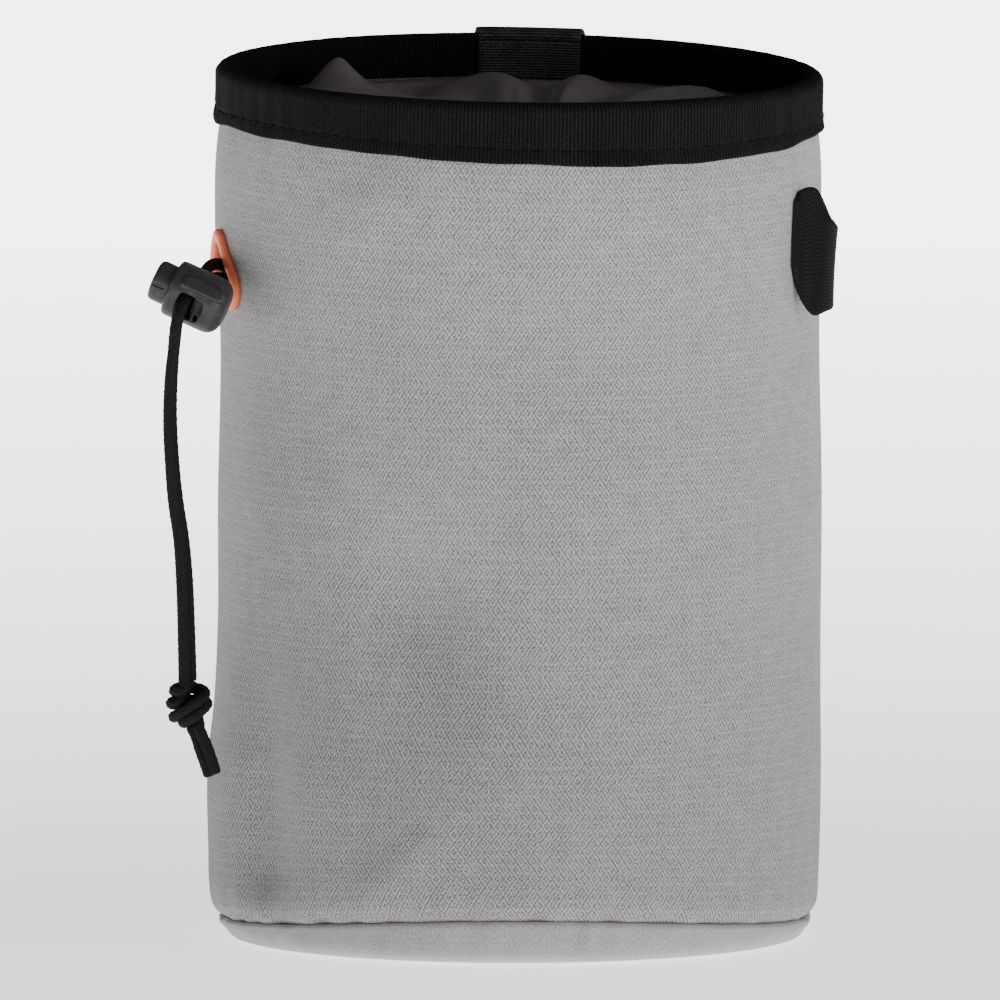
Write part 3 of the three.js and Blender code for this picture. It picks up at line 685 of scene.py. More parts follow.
def herringbone_webbing():
    """Black webbing: a zigzag twill whose direction turns every few millimetres."""
    finish = Finish("loop webbing")
    across, up = finish.cloth_place(2.6 * MM, 0.9 * MM)
    zigzag = (across.do("FRACT") * 2 - 1).do("ABSOLUTE")
    twill = sine(up + zigzag * 1.4)
    fuzz = finish.grain(0.3 * MM, 2.0)
    height = twill * 0.6 + fuzz * 0.6
    tone = (height * 0.4 + 0.3).do("MAXIMUM", 0.0)
    rgb = finish.between(tone, shade(colours().tape, 0.5), shade(colours().tape, 3.4))
    return finish.surface(rgb, 0.62 + fuzz * 0.2, height, 0.1 * MM, 0.9, specular_ior_level=0.12)


def satin():
    """Dark satin nylon: a fine ripstop weave under a soft gloss, with painted highlights that make it lighter
    where the crumple bump stands up.
    """
    finish = Finish("collar satin")
    along, up = finish.cloth_place(0.3 * MM, 0.3 * MM)
    weave = sine(along) * sine(up)
    crumple_and_highlight = finish.grain(5 * MM, 4.0)
    height = weave * 0.1 + crumple_and_highlight * 1.2
    # Painted highlight: the colour is lighter where the crumple bump stands up.
    rgb = finish.between(crumple_and_highlight, shade(colours().satin, 0.7), shade(colours().satin, 1.35))
    return finish.surface(
        rgb, 0.36 + crumple_and_highlight * 0.16, height, 0.4 * MM, 0.7, specular_ior_level=0.4,
    )


def rubber():
    """Orange moulded rubber: faint flow marks and fine pits."""
    finish = Finish("eyelet rubber")
    flow = finish.grain(3 * MM, 3.0)
    pits = finish.grain(0.25 * MM, 2.0)
    rgb = finish.between(flow, shade(colours().rubber, 0.85), shade(colours().rubber, 1.15))
    return finish.surface(rgb, 0.42 + flow * 0.15, pits + flow, 0.03 * MM, 0.7, specular_ior_level=0.4)


def plastic():
    """Dark moulded plastic: a fine spark-eroded grain, and scuffs that are lighter and rougher."""
    finish = Finish("lock plastic")
    fine = finish.grain(0.18 * MM, 2.0)
    scuff = (finish.grain(1.6 * MM, 4.0) - 0.56).do("MAXIMUM", 0.0) * 4
    tone = (fine * 0.35 + scuff).do("MINIMUM", 1.0)
    rgb = finish.between(tone, shade(colours().plastic, 0.85), shade(colours().plastic, 2.6))
    return finish.surface(rgb, 0.34 + tone * 0.22, fine + scuff * 0.4, 0.03 * MM, 0.8,
                          specular_ior_level=0.32)


def braid():
    """Black cord: yarns on each plait of the braid, and lint."""
    finish = Finish("cord braid")
    along, up = finish.cloth_place(0.24 * MM, 0.24 * MM)
    yarns = sine(along + up * 0.8) * 0.4
    fuzz = finish.grain(0.2 * MM, 2.0)
    height = yarns + fuzz
    tone = (height * 0.4).do("MAXIMUM", 0.0)
    rgb = finish.between(tone, shade(colours().cord, 0.7), shade(colours().cord, 2.6))
    return finish.surface(rgb, 0.6 + fuzz * 0.25, height, 0.05 * MM, 0.8, specular_ior_level=0.2)


def thread():
    """Black sewing thread with a soft twist."""
    finish = Finish("thread")
    fuzz = finish.grain(0.2 * MM, 2.0)
    rgb = finish.between(fuzz, shade(colours().thread, 0.3), shade(colours().thread, 1.5))
    return finish.surface(rgb, 0.7, fuzz, 0.05 * MM, 0.8, specular_ior_level=0.08)


def pale_floor():
    """Pale studio floor with a faint mottle that glows with painted light: dimmer near the middle, rising to
    its full glow far out.
    """
    finish = Finish("studio floor")
    mottle = finish.grain(0.4, 2.0)
    rgb = finish.between(mottle, shade(colours().floor, 0.99), shade(colours().floor, 1.01))
    place = finish.node("ShaderNodeTexCoord").outputs["Object"]
    away = Number(finish,
                  finish.node("ShaderNodeVectorMath", {"operation": "LENGTH"}, {0: place}).outputs["Value"])
    # Painted glow: the floor gives off light at the near strength within 0.12 m of the middle, rising to full
    # over the next 1.6 m.
    far = ((away - 0.12) / 1.6).do("MAXIMUM", 0.0).do("MINIMUM", 1.0)
    glow = finish.between(far, (FLOOR_NEAR, FLOOR_NEAR, FLOOR_NEAR, 1.0), (1.0, 1.0, 1.0, 1.0))
    return finish.surface(rgb, 0.9, specular_ior_level=0.1, emission_color=glow, emission_strength=FLOOR_GLOW)


# Pieces

def shell_map(azimuths, run):
    """A UV map in metres for a shell: distance round the bag by distance along its profile, with the seam's
    column and row repeated so that the map doesn't fold back."""
    around = np.append(azimuths, azimuths[0] + 2 * np.pi) * sizes().width / 2
    return np.stack(np.meshgrid(around, run, indexing="ij"), axis=-1)


def run_of(radii, heights):
    """Distance along a closed profile, with the way back to its start as the last entry."""
    steps = np.hypot(np.diff(np.append(radii, radii[0])), np.diff(np.append(heights, heights[0])))
    return np.concatenate([[0], np.cumsum(steps)])


def turns(count):
    """Even azimuths all round, from -180 degrees."""
    return np.linspace(-np.pi, np.pi, count, endpoint=False)


def eyelet_outline(margin, steps):
    """A rounded triangle, its tip up and its lower edge at 0, a margin inside the eyelet: an arc at each
    corner and straight sides between them, as distances round the bag and up."""
    s = sizes()
    corner = EYELET_CORNER
    half = s.eyelet_width / 2 - corner
    rise = s.eyelet_height - 2 * corner
    lean = math.atan2(half, rise)
    middles = [(half, corner), (0, corner + rise), (-half, corner)]
    sweeps = [(-np.pi / 2, lean), (lean, np.pi - lean), (np.pi - lean, 1.5 * np.pi)]
    points = []
    for (x, y), (start, end) in zip(middles, sweeps):
        angle = np.linspace(start, end, steps)
        points.append(np.stack([x + (corner - margin) * np.cos(angle),
                                y + (corner - margin) * np.sin(angle)], 1))
    whole = np.vstack(points + [points[0][:1]])
    far = np.concatenate([[0], np.cumsum(np.linalg.norm(np.diff(whole, axis=0), axis=1))])
    at = np.linspace(0, far[-1], 3 * steps, endpoint=False)
    return np.stack([np.interp(at, far, whole[:, 0]), np.interp(at, far, whole[:, 1])], axis=1)


def on_eyelet(flat, out):
    """Places over the wall from points round and up on the eyelet, and a distance out."""
    s = sizes()
    azimuth = np.radians(EYELET_AZIMUTH) + flat[..., 0] / (s.width / 2)
    return drape(azimuth, s.width / 2 + out, s.eyelet_top - s.eyelet_height + flat[..., 1])


class CHALK_OT_wall(bpy.types.Operator):
    """The side wall: a draped cloth tube with a turned-in lower edge, soft dents and an opening for the
    cord."""

    bl_idname = "chalk_bag.wall"
    bl_label = "Side wall"

    def execute(self, context):
        s = sizes()
        whole = s.width / 2
        bottom = s.seam_height + 0.1 * MM
        top = s.height - s.tape - 2 * s.gap - s.cloth / 2
        outer = np.concatenate([bottom + np.linspace(0, 2, 7) ** 2 * MM,
                                np.linspace(bottom + 5 * MM, top, 170)])
        inner = np.linspace(top, bottom, 14)
        heights = np.concatenate([outer, inner])
        roll = 1.1 * MM * (1 - np.clip((outer - bottom) / (1.6 * MM), 0, 1)) ** 2
        radii = np.concatenate([whole - roll, np.full(len(inner), whole - s.cloth)])
        azimuths = turns(430)
        a, h = np.meshgrid(azimuths, heights, indexing="ij")
        grid = drape(a, radii[None, :] + folds(a, h), h)
        mesh = skin("wall_cloth", grid, True, shell_map(azimuths, run_of(radii, heights)))
        seat = 1.5 * MM
        flat = eyelet_outline(seat, 10)
        opening = np.stack([on_eyelet(flat, out) for out in np.linspace(-4, 4, 3) * MM], axis=0)
        mesh = cut_or_joined("wall_cloth", mesh, [("DIFFERENCE", skin("opening", opening, False))])
        shown("wall_cloth", mesh, diamond_cloth(), "bag", ["outer_wall"])
        return {"FINISHED"}


class CHALK_OT_base(bpy.types.Operator):
    """The base panel: a flat foot that rounds up into the seam, with small pleats beneath it."""

    bl_idname = "chalk_bag.base"
    bl_label = "Base panel"

    def execute(self, context):
        s = sizes()
        whole = s.width / 2
        edge = whole - s.foot_radius
        turn = np.linspace(0, np.pi / 2, 22)
        radii = np.concatenate([np.linspace(0, s.foot_radius, 12)[:-1], s.foot_radius + edge * np.sin(turn)])
        heights = np.concatenate([np.zeros(11), s.seam_height * (1 - np.cos(turn)) ** 1.25])
        radii[-1] = whole - 0.8 * MM
        inner_radii = np.concatenate([[whole - 1.6 * MM],
                                      s.foot_radius - s.cloth + edge * 0.8 * np.cos(turn[::4]), [0]])
        inner_heights = np.concatenate([[s.seam_height], s.cloth + 3.6 * MM * (1 - np.sin(turn[::4])),
                                        [s.cloth]])
        azimuths = turns(420)
        radii = np.concatenate([radii, inner_radii])
        heights = np.concatenate([heights, inner_heights])
        a, h = np.meshgrid(azimuths, heights, indexing="ij")
        near = bell(h - 0.8 * s.seam_height, 0.45 * s.seam_height) * (radii > s.foot_radius)[None, :]
        pleats = 0.3 * MM * waves(31, 8, (18, 58), 30, a, h) * near
        for middle, spread, deep in [(-78, 1.5, 1.0), (-75.5, 1.6, -0.5), (-124, 1.3, 0.6),
                                     (-117, 1.5, 0.5), (-109, 1.3, 0.6)]:
            pleats = pleats - deep * MM * bell(wrapped(np.degrees(a) - middle), spread) * near
        grid = drape(a, np.maximum(radii[None, :] + pleats, 0), h)
        run = np.concatenate([[0], np.cumsum(np.hypot(np.diff(radii), np.diff(heights)))])
        mesh = skin("base_cloth", grid, True, shell_map(azimuths, run), poles=True)
        shown("base_cloth", mesh, base_cloth(), "bag", ["base_panel"])
        return {"FINISHED"}


def tape_profile():
    """The folded tape's profile as a closed loop: up outside, over the top in a half circle, down inside, and
    back along its underside. Gives radii, heights, and the distance along the outer face or 0 beneath."""
    s = sizes()
    whole = s.width / 2
    tape_out = s.gap + s.tape
    tape_in = s.cloth + s.gap + s.tape
    half = (tape_out + tape_in) / 2
    middle = whole + (tape_out - tape_in) / 2
    low = s.height - s.tape_outside
    low_inside = s.height - s.tape_inside
    outside = np.linspace(low + 0.3 * MM, s.height - half, 20)
    turn = np.linspace(0, np.pi, 14)[1:-1]
    inside = np.linspace(s.height - half, low_inside + 0.3 * MM, 10)
    back_in = np.linspace(low_inside, s.height - half, 4)
    back_out = np.linspace(s.height - half, low, 4)
    radii = np.concatenate([
        np.full(20, middle + half), middle + half * np.cos(turn), np.full(10, middle - half),
        np.full(4, whole - s.cloth - s.gap), np.full(4, whole + s.gap), [middle + half - 0.25 * MM],
    ])
    heights = np.concatenate([outside, s.height - half + half * np.sin(turn), inside, back_in, back_out,
                              [low]])
    return radii, heights


def edge_rise(azimuth, height, radius):
    """How far the tape's outer face is lifted near its lower edge: the edge table's value, faded out
    upwards."""
    s = sizes()
    rise = np.interp(wrapped(np.degrees(azimuth)), TAPE_EDGE[:, 0], TAPE_EDGE[:, 1]) * MM
    low = s.height - s.tape_outside
    return rise * (1 - eased(low, low + 9 * MM, height)) * (radius > s.width / 2)


def stitch_groove(height, line):
    """How far a stitch line draws the tape in, at a height."""
    return 0.28 * MM * bell(height - line, 0.55 * MM)


class CHALK_OT_rim(bpy.types.Operator):
    """The rim tape: ribbed grosgrain folded over the wall's edge, drawn in along its two lines of
    stitches."""

    bl_idname = "chalk_bag.rim"
    bl_label = "Rim tape and stitches"

    def execute(self, context):
        s = sizes()
        whole = s.width / 2
        radii, heights = tape_profile()
        ribs = round(2 * np.pi * whole / s.rib)
        azimuths = turns(ribs * 3)
        a, h = np.meshgrid(azimuths, heights, indexing="ij")
        outer = np.arange(len(heights)) < 42
        way = np.where(radii > whole - s.cloth / 2, 1.0, -1.0) * outer
        line = s.height - s.tape_outside + 2.8 * MM
        line_inside = s.height - s.tape_inside + 2.2 * MM
        groove = np.where(way > 0, stitch_groove(heights, line), stitch_groove(heights, line_inside))
        puff = 0.14 * MM * waves(41, 7, (30, 70), 10, a, h) + 0.12 * MM * waves(43, 6, (4, 16), 10, a, h)
        overlap = 0.55 * MM * eased(5.0, 4.4, np.abs(wrapped(np.degrees(a) - 50.5))) * (way < 0)[None, :]
        push = (s.rib_height * np.cos(ribs * a) + puff - groove[None, :] + overlap) * way[None, :]
        droop = 0.16 * MM * waves(47, 7, (8, 34), 1, a, 0 * h) * bell(h - (s.height - s.tape_outside), 2 * MM)
        grid = drape(a, radii[None, :] + push, h + droop + edge_rise(a, h, radii[None, :]))
        mesh = skin("rim_tape", grid, True, shell_map(azimuths, run_of(radii, heights)))
        shown("rim_tape", mesh, ribbed_tape("rim tape", s.rib), "bag", ["rim_binding"])
        tape_out = whole + s.gap + s.tape
        tape_in = whole - s.cloth - s.gap - s.tape
        stitches = [stitch_row(tape_out, line, 1), stitch_row(tape_in, line_inside, -1)]
        shown("rim_stitches", joined("rim_stitches", stitches), thread(), "bag")
        return {"FINISHED"}


def stitch_row(radius, height, way, start=-np.pi, end=np.pi):
    """A row of stitches round the bag at a radius and height: each a rounded bead, long along the row, whose
    girth is a sine of the way along it."""
    s = sizes()
    count = round((end - start) * radius / s.stitch)
    azimuth = start + (np.arange(count) + 0.5) * (end - start) / count
    level = height + edge_rise(azimuth, height, radius)
    place = drape(azimuth, np.full(count, radius - way * 0.2 * MM), level)
    ahead = drape(azimuth + 0.01, np.full(count, radius), height + edge_rise(azimuth + 0.01, height, radius))
    above = drape(azimuth, np.full(count, radius), level + MM)
    forward, up = unit(ahead - place), unit(above - place)
    out = np.cross(forward, up) * way
    t, w = np.meshgrid(np.linspace(0, np.pi, 7), np.linspace(0, 2 * np.pi, 6, endpoint=False), indexing="ij")
    long = -np.cos(t) * s.stitch * 0.39
    girth = np.sin(t) ** 0.6 * s.thread / 2
    beads = (place[:, None, None] + forward[:, None, None] * long[None, ..., None]
             + up[:, None, None] * (girth * np.cos(w))[None, ..., None]
             + out[:, None, None] * (girth * np.sin(w))[None, ..., None])
    return joined("stitches", [skin("stitch", bead, False) for bead in beads])


def gathered(grid, free):
    """A ring of cloth, stations round by points inward, run as cloth that is cut larger than its place and
    weighs almost nothing, so that it crumples. Its outer and inner edges are held, and each point moves by
    at most the cloth's reach from where it started."""
    stations, rows = grid.shape[:2]
    mesh = bpy.data.meshes.new("gathered")
    i, j = np.meshgrid(np.arange(stations), np.arange(rows - 1), indexing="ij")
    quads = np.stack([(p % stations) * rows + q for p,
                      q in [(i, j), (i + 1, j), (i + 1, j + 1), (i, j + 1)]], -1)
    mesh.from_pydata(grid.reshape(-1, 3).tolist(), [], quads.reshape(-1, 4).tolist())
    cloth = bpy.data.objects.new("gathered", mesh)
    bpy.context.scene.collection.objects.link(cloth)
    held = cloth.vertex_groups.new(name="held")
    fixed = np.flatnonzero(np.broadcast_to(free < 0.01, (stations, rows)).ravel())
    held.add(fixed.tolist(), 1.0, "REPLACE")
    modifier = cloth.modifiers.new("cloth", "CLOTH")
    settings = modifier.settings
    settings.vertex_group_mass = "held"
    settings.effector_weights.gravity = CLOTH_WEIGHT
    settings.quality = 6
    settings.mass = 0.08
    settings.shrink_min = -CLOTH_SPARE
    settings.tension_stiffness = settings.compression_stiffness = 12
    settings.shear_stiffness = 4
    settings.bending_stiffness = 0.35
    settings.air_damping = 2.0
    modifier.point_cache.frame_start, modifier.point_cache.frame_end = 1, 30
    scene = bpy.context.scene
    for frame in range(1, CLOTH_LAST_FRAME + 1):
        scene.frame_set(frame)
    evaluated = cloth.evaluated_get(bpy.context.evaluated_depsgraph_get())
    places = np.zeros(stations * rows * 3, np.float32)
    evaluated.data.vertices.foreach_get("co", places)
    scene.frame_set(1)
    bpy.data.objects.remove(cloth)
    moved = places.reshape(grid.shape).astype(float) - grid
    far = np.linalg.norm(moved, axis=-1, keepdims=True)
    limit = CLOTH_REACH * free[..., None]
    return grid + moved * np.minimum(1, limit / np.maximum(far, 1e-9))


class CHALK_OT_collar(bpy.types.Operator):
    """The collar: satin laid in folds from its seam to the gathered mouth, then crumpled as cloth."""

    bl_idname = "chalk_bag.collar"
    bl_label = "Gathered collar"

    def execute(self, context):
        s = sizes()
        seat = s.height - s.tape_inside - s.gap
        outer = s.width / 2 - s.cloth - s.gap
        span = outer - s.mouth_radius
        rows = np.array([(0, 0), (0.07, 0), (0.28, 1.1), (0.52, 1.35), (0.76, 0.6),
                         (1, 1 - s.collar_drop / s.collar_rise)])
        share = np.linspace(0, 1, 44)
        rise = through_rows(share, rows[:, 0], rows[:, 1]) * s.collar_rise
        azimuths = turns(240)
        a, k = np.meshgrid(azimuths, share, indexing="ij")
        bent = a + 0.3 * waves(61, 4, (1, 4), 0, a, 0 * a)
        pleat = np.cos(9 * bent + 1.5 * k) * 1.7 * MM + np.cos(21 * bent) * 0.7 * MM * eased(0.3, 1, k)
        degrees = np.degrees(a)
        arch = 6.5 * MM * bell(wrapped(degrees - 137 - 30 * k), 9) * bell(k - 0.28, 0.2)
        hollow = 3.5 * MM * bell(wrapped(degrees - 118 - 10 * k), 8) * bell(k - 0.3, 0.22)
        lift = (pleat + arch - hollow) * eased(0.05, 0.3, k) * (1 - 0.7 * eased(0.8, 1, k))
        top = drape(a, outer - k * span, seat + rise[None, :] + lift)
        free = eased(0.04, 0.2, k) * (1 - eased(0.94, 1, k))
        top = gathered(top, free)
        below = top[:, ::-3] - np.array([0, 0, s.collar])
        grid = np.concatenate([top, below], axis=1)
        radii, heights = np.hypot(grid[0, :, 0], grid[0, :, 1]), grid[0, :, 2]
        mesh = skin("collar_satin", grid, True, shell_map(azimuths, run_of(radii, heights)))
        mesh = with_modifiers("collar_satin", mesh, [("SUBSURF", {"levels": 1})])
        piece = shown("collar_satin", mesh, satin(), "bag", ["lining_collar"])
        return {"FINISHED"}


def strip_route():
    """The back strip's way in profile, as distances out from the wall and heights: up inside the rim, over it
    in a half circle, down the tape, out to the belt loop and back to the wall."""
    s = sizes()
    tape_out = s.gap + s.tape
    tape_in = s.cloth + s.gap + s.tape
    half = (tape_out + tape_in) / 2 + s.gap
    middle = (tape_out - tape_in) / 2
    crown = s.height - (tape_out + tape_in) / 2
    low = s.height - s.tape_outside - s.gap
    turn = np.linspace(np.pi, 0, 9)
    over = np.stack([middle + half * np.cos(turn), crown + half * np.sin(turn)], axis=1)
    ends = np.array([
        (middle + half, low + MM), (s.belt_gap * 0.75, low - s.belt_room * 0.09),
        (s.belt_gap, low - s.belt_room * 0.24),
        (s.belt_gap, low - s.belt_room * 0.84), (s.belt_gap * 0.72, low - s.belt_room),
        (s.gap, low - s.belt_room * 1.14), (s.gap, low - s.belt_room * 1.14 - s.belt_foot),
    ])
    start = np.array([(middle - half, s.height - s.tape_inside + s.gap)])
    return smooth_route(np.vstack([start, over, ends]), 0.16 * MM)


class CHALK_OT_strip(bpy.types.Operator):
    """The strip over the rim at the back, which ends in the belt loop: a ribbed band carried along its
    route."""

    bl_idname = "chalk_bag.strip"
    bl_label = "Back strip and belt loop"

    def execute(self, context):
        s = sizes()
        route = strip_route()
        forward = unit(np.gradient(route, axis=0))
        outward = np.stack([-forward[:, 1], forward[:, 0]], axis=1)
        across, up = band_section(s.strip_width, s.strip, 20, 3)
        run = np.concatenate([[0], np.cumsum(np.linalg.norm(np.diff(route, axis=0), axis=1))])
        ribs = 0.07 * MM * np.cos(2 * np.pi * (run[:, None] + 0.25 * MM
                                               * np.sin(across[None, :] / (2.7 * MM))) / (0.55 * MM))
        ribs = 0.6 * ribs * (up > s.strip * 0.6)[None, :]
        height = up[None, :] + ribs
        place = route[:, None, :] + outward[:, None, :] * height[..., None]
        azimuth = np.pi / 2 + (across - 2.1 * MM) / (s.width / 2)
        grid = drape(np.broadcast_to(azimuth, place.shape[:2]), s.width / 2 + place[..., 0], place[..., 1])
        uv = np.stack(np.meshgrid(run, np.append(across, across[0]), indexing="ij"), axis=-1)
        mesh = skin("back_strip", grid, False, uv)
        # The strip's tape is a lighter painted copy of the rim's black tape, a painted light against the
        # shade it sits in.
        shown("back_strip", mesh, ribbed_tape("strip tape", 0.55 * MM, STRIP_PAINTED_LIGHT), "bag",
              ["belt_strip"])
        return {"FINISHED"}


class CHALK_OT_loop(bpy.types.Operator):
    """The webbing loop on the right: a band sewn flat in front, folded straight out and led back to the
    wall."""

    bl_idname = "chalk_bag.loop"
    bl_label = "Brush loop"

    def execute(self, context):
        s = sizes()
        whole = s.width / 2
        plan = np.stack([
            np.radians(LOOP_ROWS[:, 0]) * whole, LOOP_ROWS[:, 1] * s.loop_depth,
            LOOP_ROWS[:, 2] * s.loop_height, LOOP_ROWS[:, 3] * s.loop_height,
        ], axis=1)
        route = smooth_route(plan, 0.3 * MM)
        forward = unit(np.gradient(route[:, :2], axis=0))
        outward = np.stack([-forward[:, 1], forward[:, 0]], axis=1)
        across, up = band_section(1.0, s.loop_tape / s.loop_height, 26, 3)
        high, low = s.loop_top - route[:, 2:3], s.loop_top - route[:, 3:4]
        level = (high + low) / 2 + across[None, :] * (high - low)
        rise = up[None, :] * s.loop_height
        lean = 1 - s.loop_lean * (s.loop_top - level) / s.loop_height
        azimuth = (route[:, :1] + outward[:, :1] * rise) / whole
        grid = drape(azimuth, whole + s.gap + route[:, 1:2] * lean + outward[:, 1:2] * rise, level)
        run = np.concatenate([[0], np.cumsum(np.linalg.norm(np.diff(route[:, :2], axis=0), axis=1))])
        uv = np.stack(np.meshgrid(run, np.append(across, across[0]) * s.loop_height, indexing="ij"), axis=-1)
        mesh = skin("brush_webbing", grid, False, uv)
        shown("brush_webbing", mesh, herringbone_webbing(), "bag", ["brush_loop"])
        return {"FINISHED"}


class CHALK_OT_eyelet(bpy.types.Operator):
    """The moulded eyelet: a rounded band carried round a rounded triangle, with a lip down into the
    opening."""

    bl_idname = "chalk_bag.eyelet"
    bl_label = "Moulded eyelet"

    def execute(self, context):
        s = sizes()
        turn = np.linspace(0, np.pi, 12)
        margins = np.concatenate([s.eyelet_band / 2 * (1 - np.cos(turn)), [s.eyelet_band]])
        outs = s.gap + np.concatenate([s.eyelet_thick * np.sin(turn) ** 0.55, [-1.2 * MM]])
        outs[0], outs[-2] = s.gap, s.gap + 0.3 * MM
        margins, outs = np.append(margins, s.eyelet_band - 0.5 * MM), np.append(outs, -1.2 * MM)
        grid = np.stack([on_eyelet(eyelet_outline(m, 22), out) for m, out in zip(margins, outs)], axis=1)
        mesh = skin("eyelet_ring", grid, True)
        shown("eyelet_ring", mesh, rubber(), "bag", ["cord_eyelet"])
        return {"FINISHED"}


def braided(name, route, end_round=0.0):
    """A braided cord along a route. Two families of plaits wind left and right at the same pitch; on each
    crossing one of them lies on top, in turn, and its rounded back stands up from the cord."""
    s = sizes()
    radius = s.cord / 2
    around = 42
    strands = 7
    pitch = 1.9 * MM
    _, side, up = route_frames(route)
    run = np.concatenate([[0], np.cumsum(np.linalg.norm(np.diff(route, axis=0), axis=1))])
    d, w = np.meshgrid(run, np.linspace(0, 2 * np.pi, around, endpoint=False), indexing="ij")
    left = strands * w / (2 * np.pi) + d / pitch
    right = strands * w / (2 * np.pi) - d / pitch
    left_on_top = (np.floor(left) + np.floor(right)) % 2 == 0
    back = lambda one, other: np.sin(np.pi * (one % 1)) ** 0.7 * (0.72 + 0.28 * np.sin(np.pi * (other % 1)))
    plait = np.where(left_on_top, back(left, right), back(right, left))
    girth = radius * (0.83 + 0.2 * plait)
    if end_round:
        close = np.clip((run[-1] - d) / end_round, 0, 1)
        girth = girth * (0.75 + 0.25 * np.sqrt(1 - (1 - close) ** 2))
    grid = route[:, None] + girth[..., None] * (side[:, None] * np.cos(w)[..., None] + up[:, None]
                                                * np.sin(w)[..., None])
    uv = np.stack(np.meshgrid(run, np.linspace(0, 2 * np.pi, around + 1) * radius, indexing="ij"), axis=-1)
    return skin(name, grid, False, uv)


class CHALK_OT_cords(bpy.types.Operator):
    """The drawcord: two braided strands from the eyelet through the lock to the knot, and the knot with its
    tails."""

    bl_idname = "chalk_bag.cords"
    bl_label = "Drawcord and knot"

    def execute(self, context):
        finish = braid()
        strands = [("cord_front", FRONT_STRAND, "drawcord_front"),
                   ("cord_back", BACK_STRAND, "drawcord_back")]
        knot = joined("knot_tied", [
            braided("turns", smooth_route(KNOT_MIDDLE + points, 0.24 * MM), 0.8 * MM)
            for points in (FRONT_TURNS, BACK_TURNS)
        ])
        tied = shown("knot_tied", knot, finish, "bag", ["cord_knot"])
        for name, points, node in strands:
            route = smooth_route(points, 0.28 * MM)
            cord = shown(name, braided(name, route), finish, "bag", [node])
        return {"FINISHED"}


def lathe(name, profile, around=72):
    """A turned solid: its profile's places along X and its radii, carried once round the X axis."""
    w = np.linspace(0, 2 * np.pi, around, endpoint=False)
    x, r = np.array(profile).T
    grid = np.stack([np.broadcast_to(x, (around, len(x))), r[None] * np.cos(w)[:, None],
                     r[None] * np.sin(w)[:, None]], -1)
    return skin(name, grid, True, poles=True)


def rounded_bar(name, middle, half, power):
    """A rounded block: a superellipsoid of half sizes, whose power sets how square it is."""
    t, w = np.meshgrid(np.linspace(-np.pi / 2, np.pi / 2, 25),
                       np.linspace(-np.pi, np.pi, 48, endpoint=False), indexing="ij")
    squared = lambda wave: np.sign(wave) * np.abs(wave) ** power
    grid = np.stack([
        squared(np.cos(t)) * squared(np.cos(w)), squared(np.cos(t)) * squared(np.sin(w)), squared(np.sin(t)),
    ], axis=-1) * np.array(half) + np.array(middle)
    return skin(name, np.moveaxis(grid, 0, 1), True, poles=True)


def lock_place():
    """The lock's own frame: X along the barrel, Y back through the cord's hole, Z across the two strands."""
    z = LOCK_AXIS.cross(-LOCK_BORE_WAY).normalized()
    y = z.cross(LOCK_AXIS)
    turn = Matrix((LOCK_AXIS, y, z)).transposed()
    return Matrix.Translation(LOCK_CENTRE) @ turn.to_4x4()


def moulded(name, mesh, grain):
    """A solid with soft, moulded edges: it is rebuilt from small cubes and smoothed."""
    made = with_modifiers(name, mesh, [
        ("REMESH", {"mode": "VOXEL", "voxel_size": grain, "use_smooth_shade": True}),
        ("SMOOTH", {"factor": 0.5, "iterations": 6}),
    ])
    made.transform(lock_place())
    return made


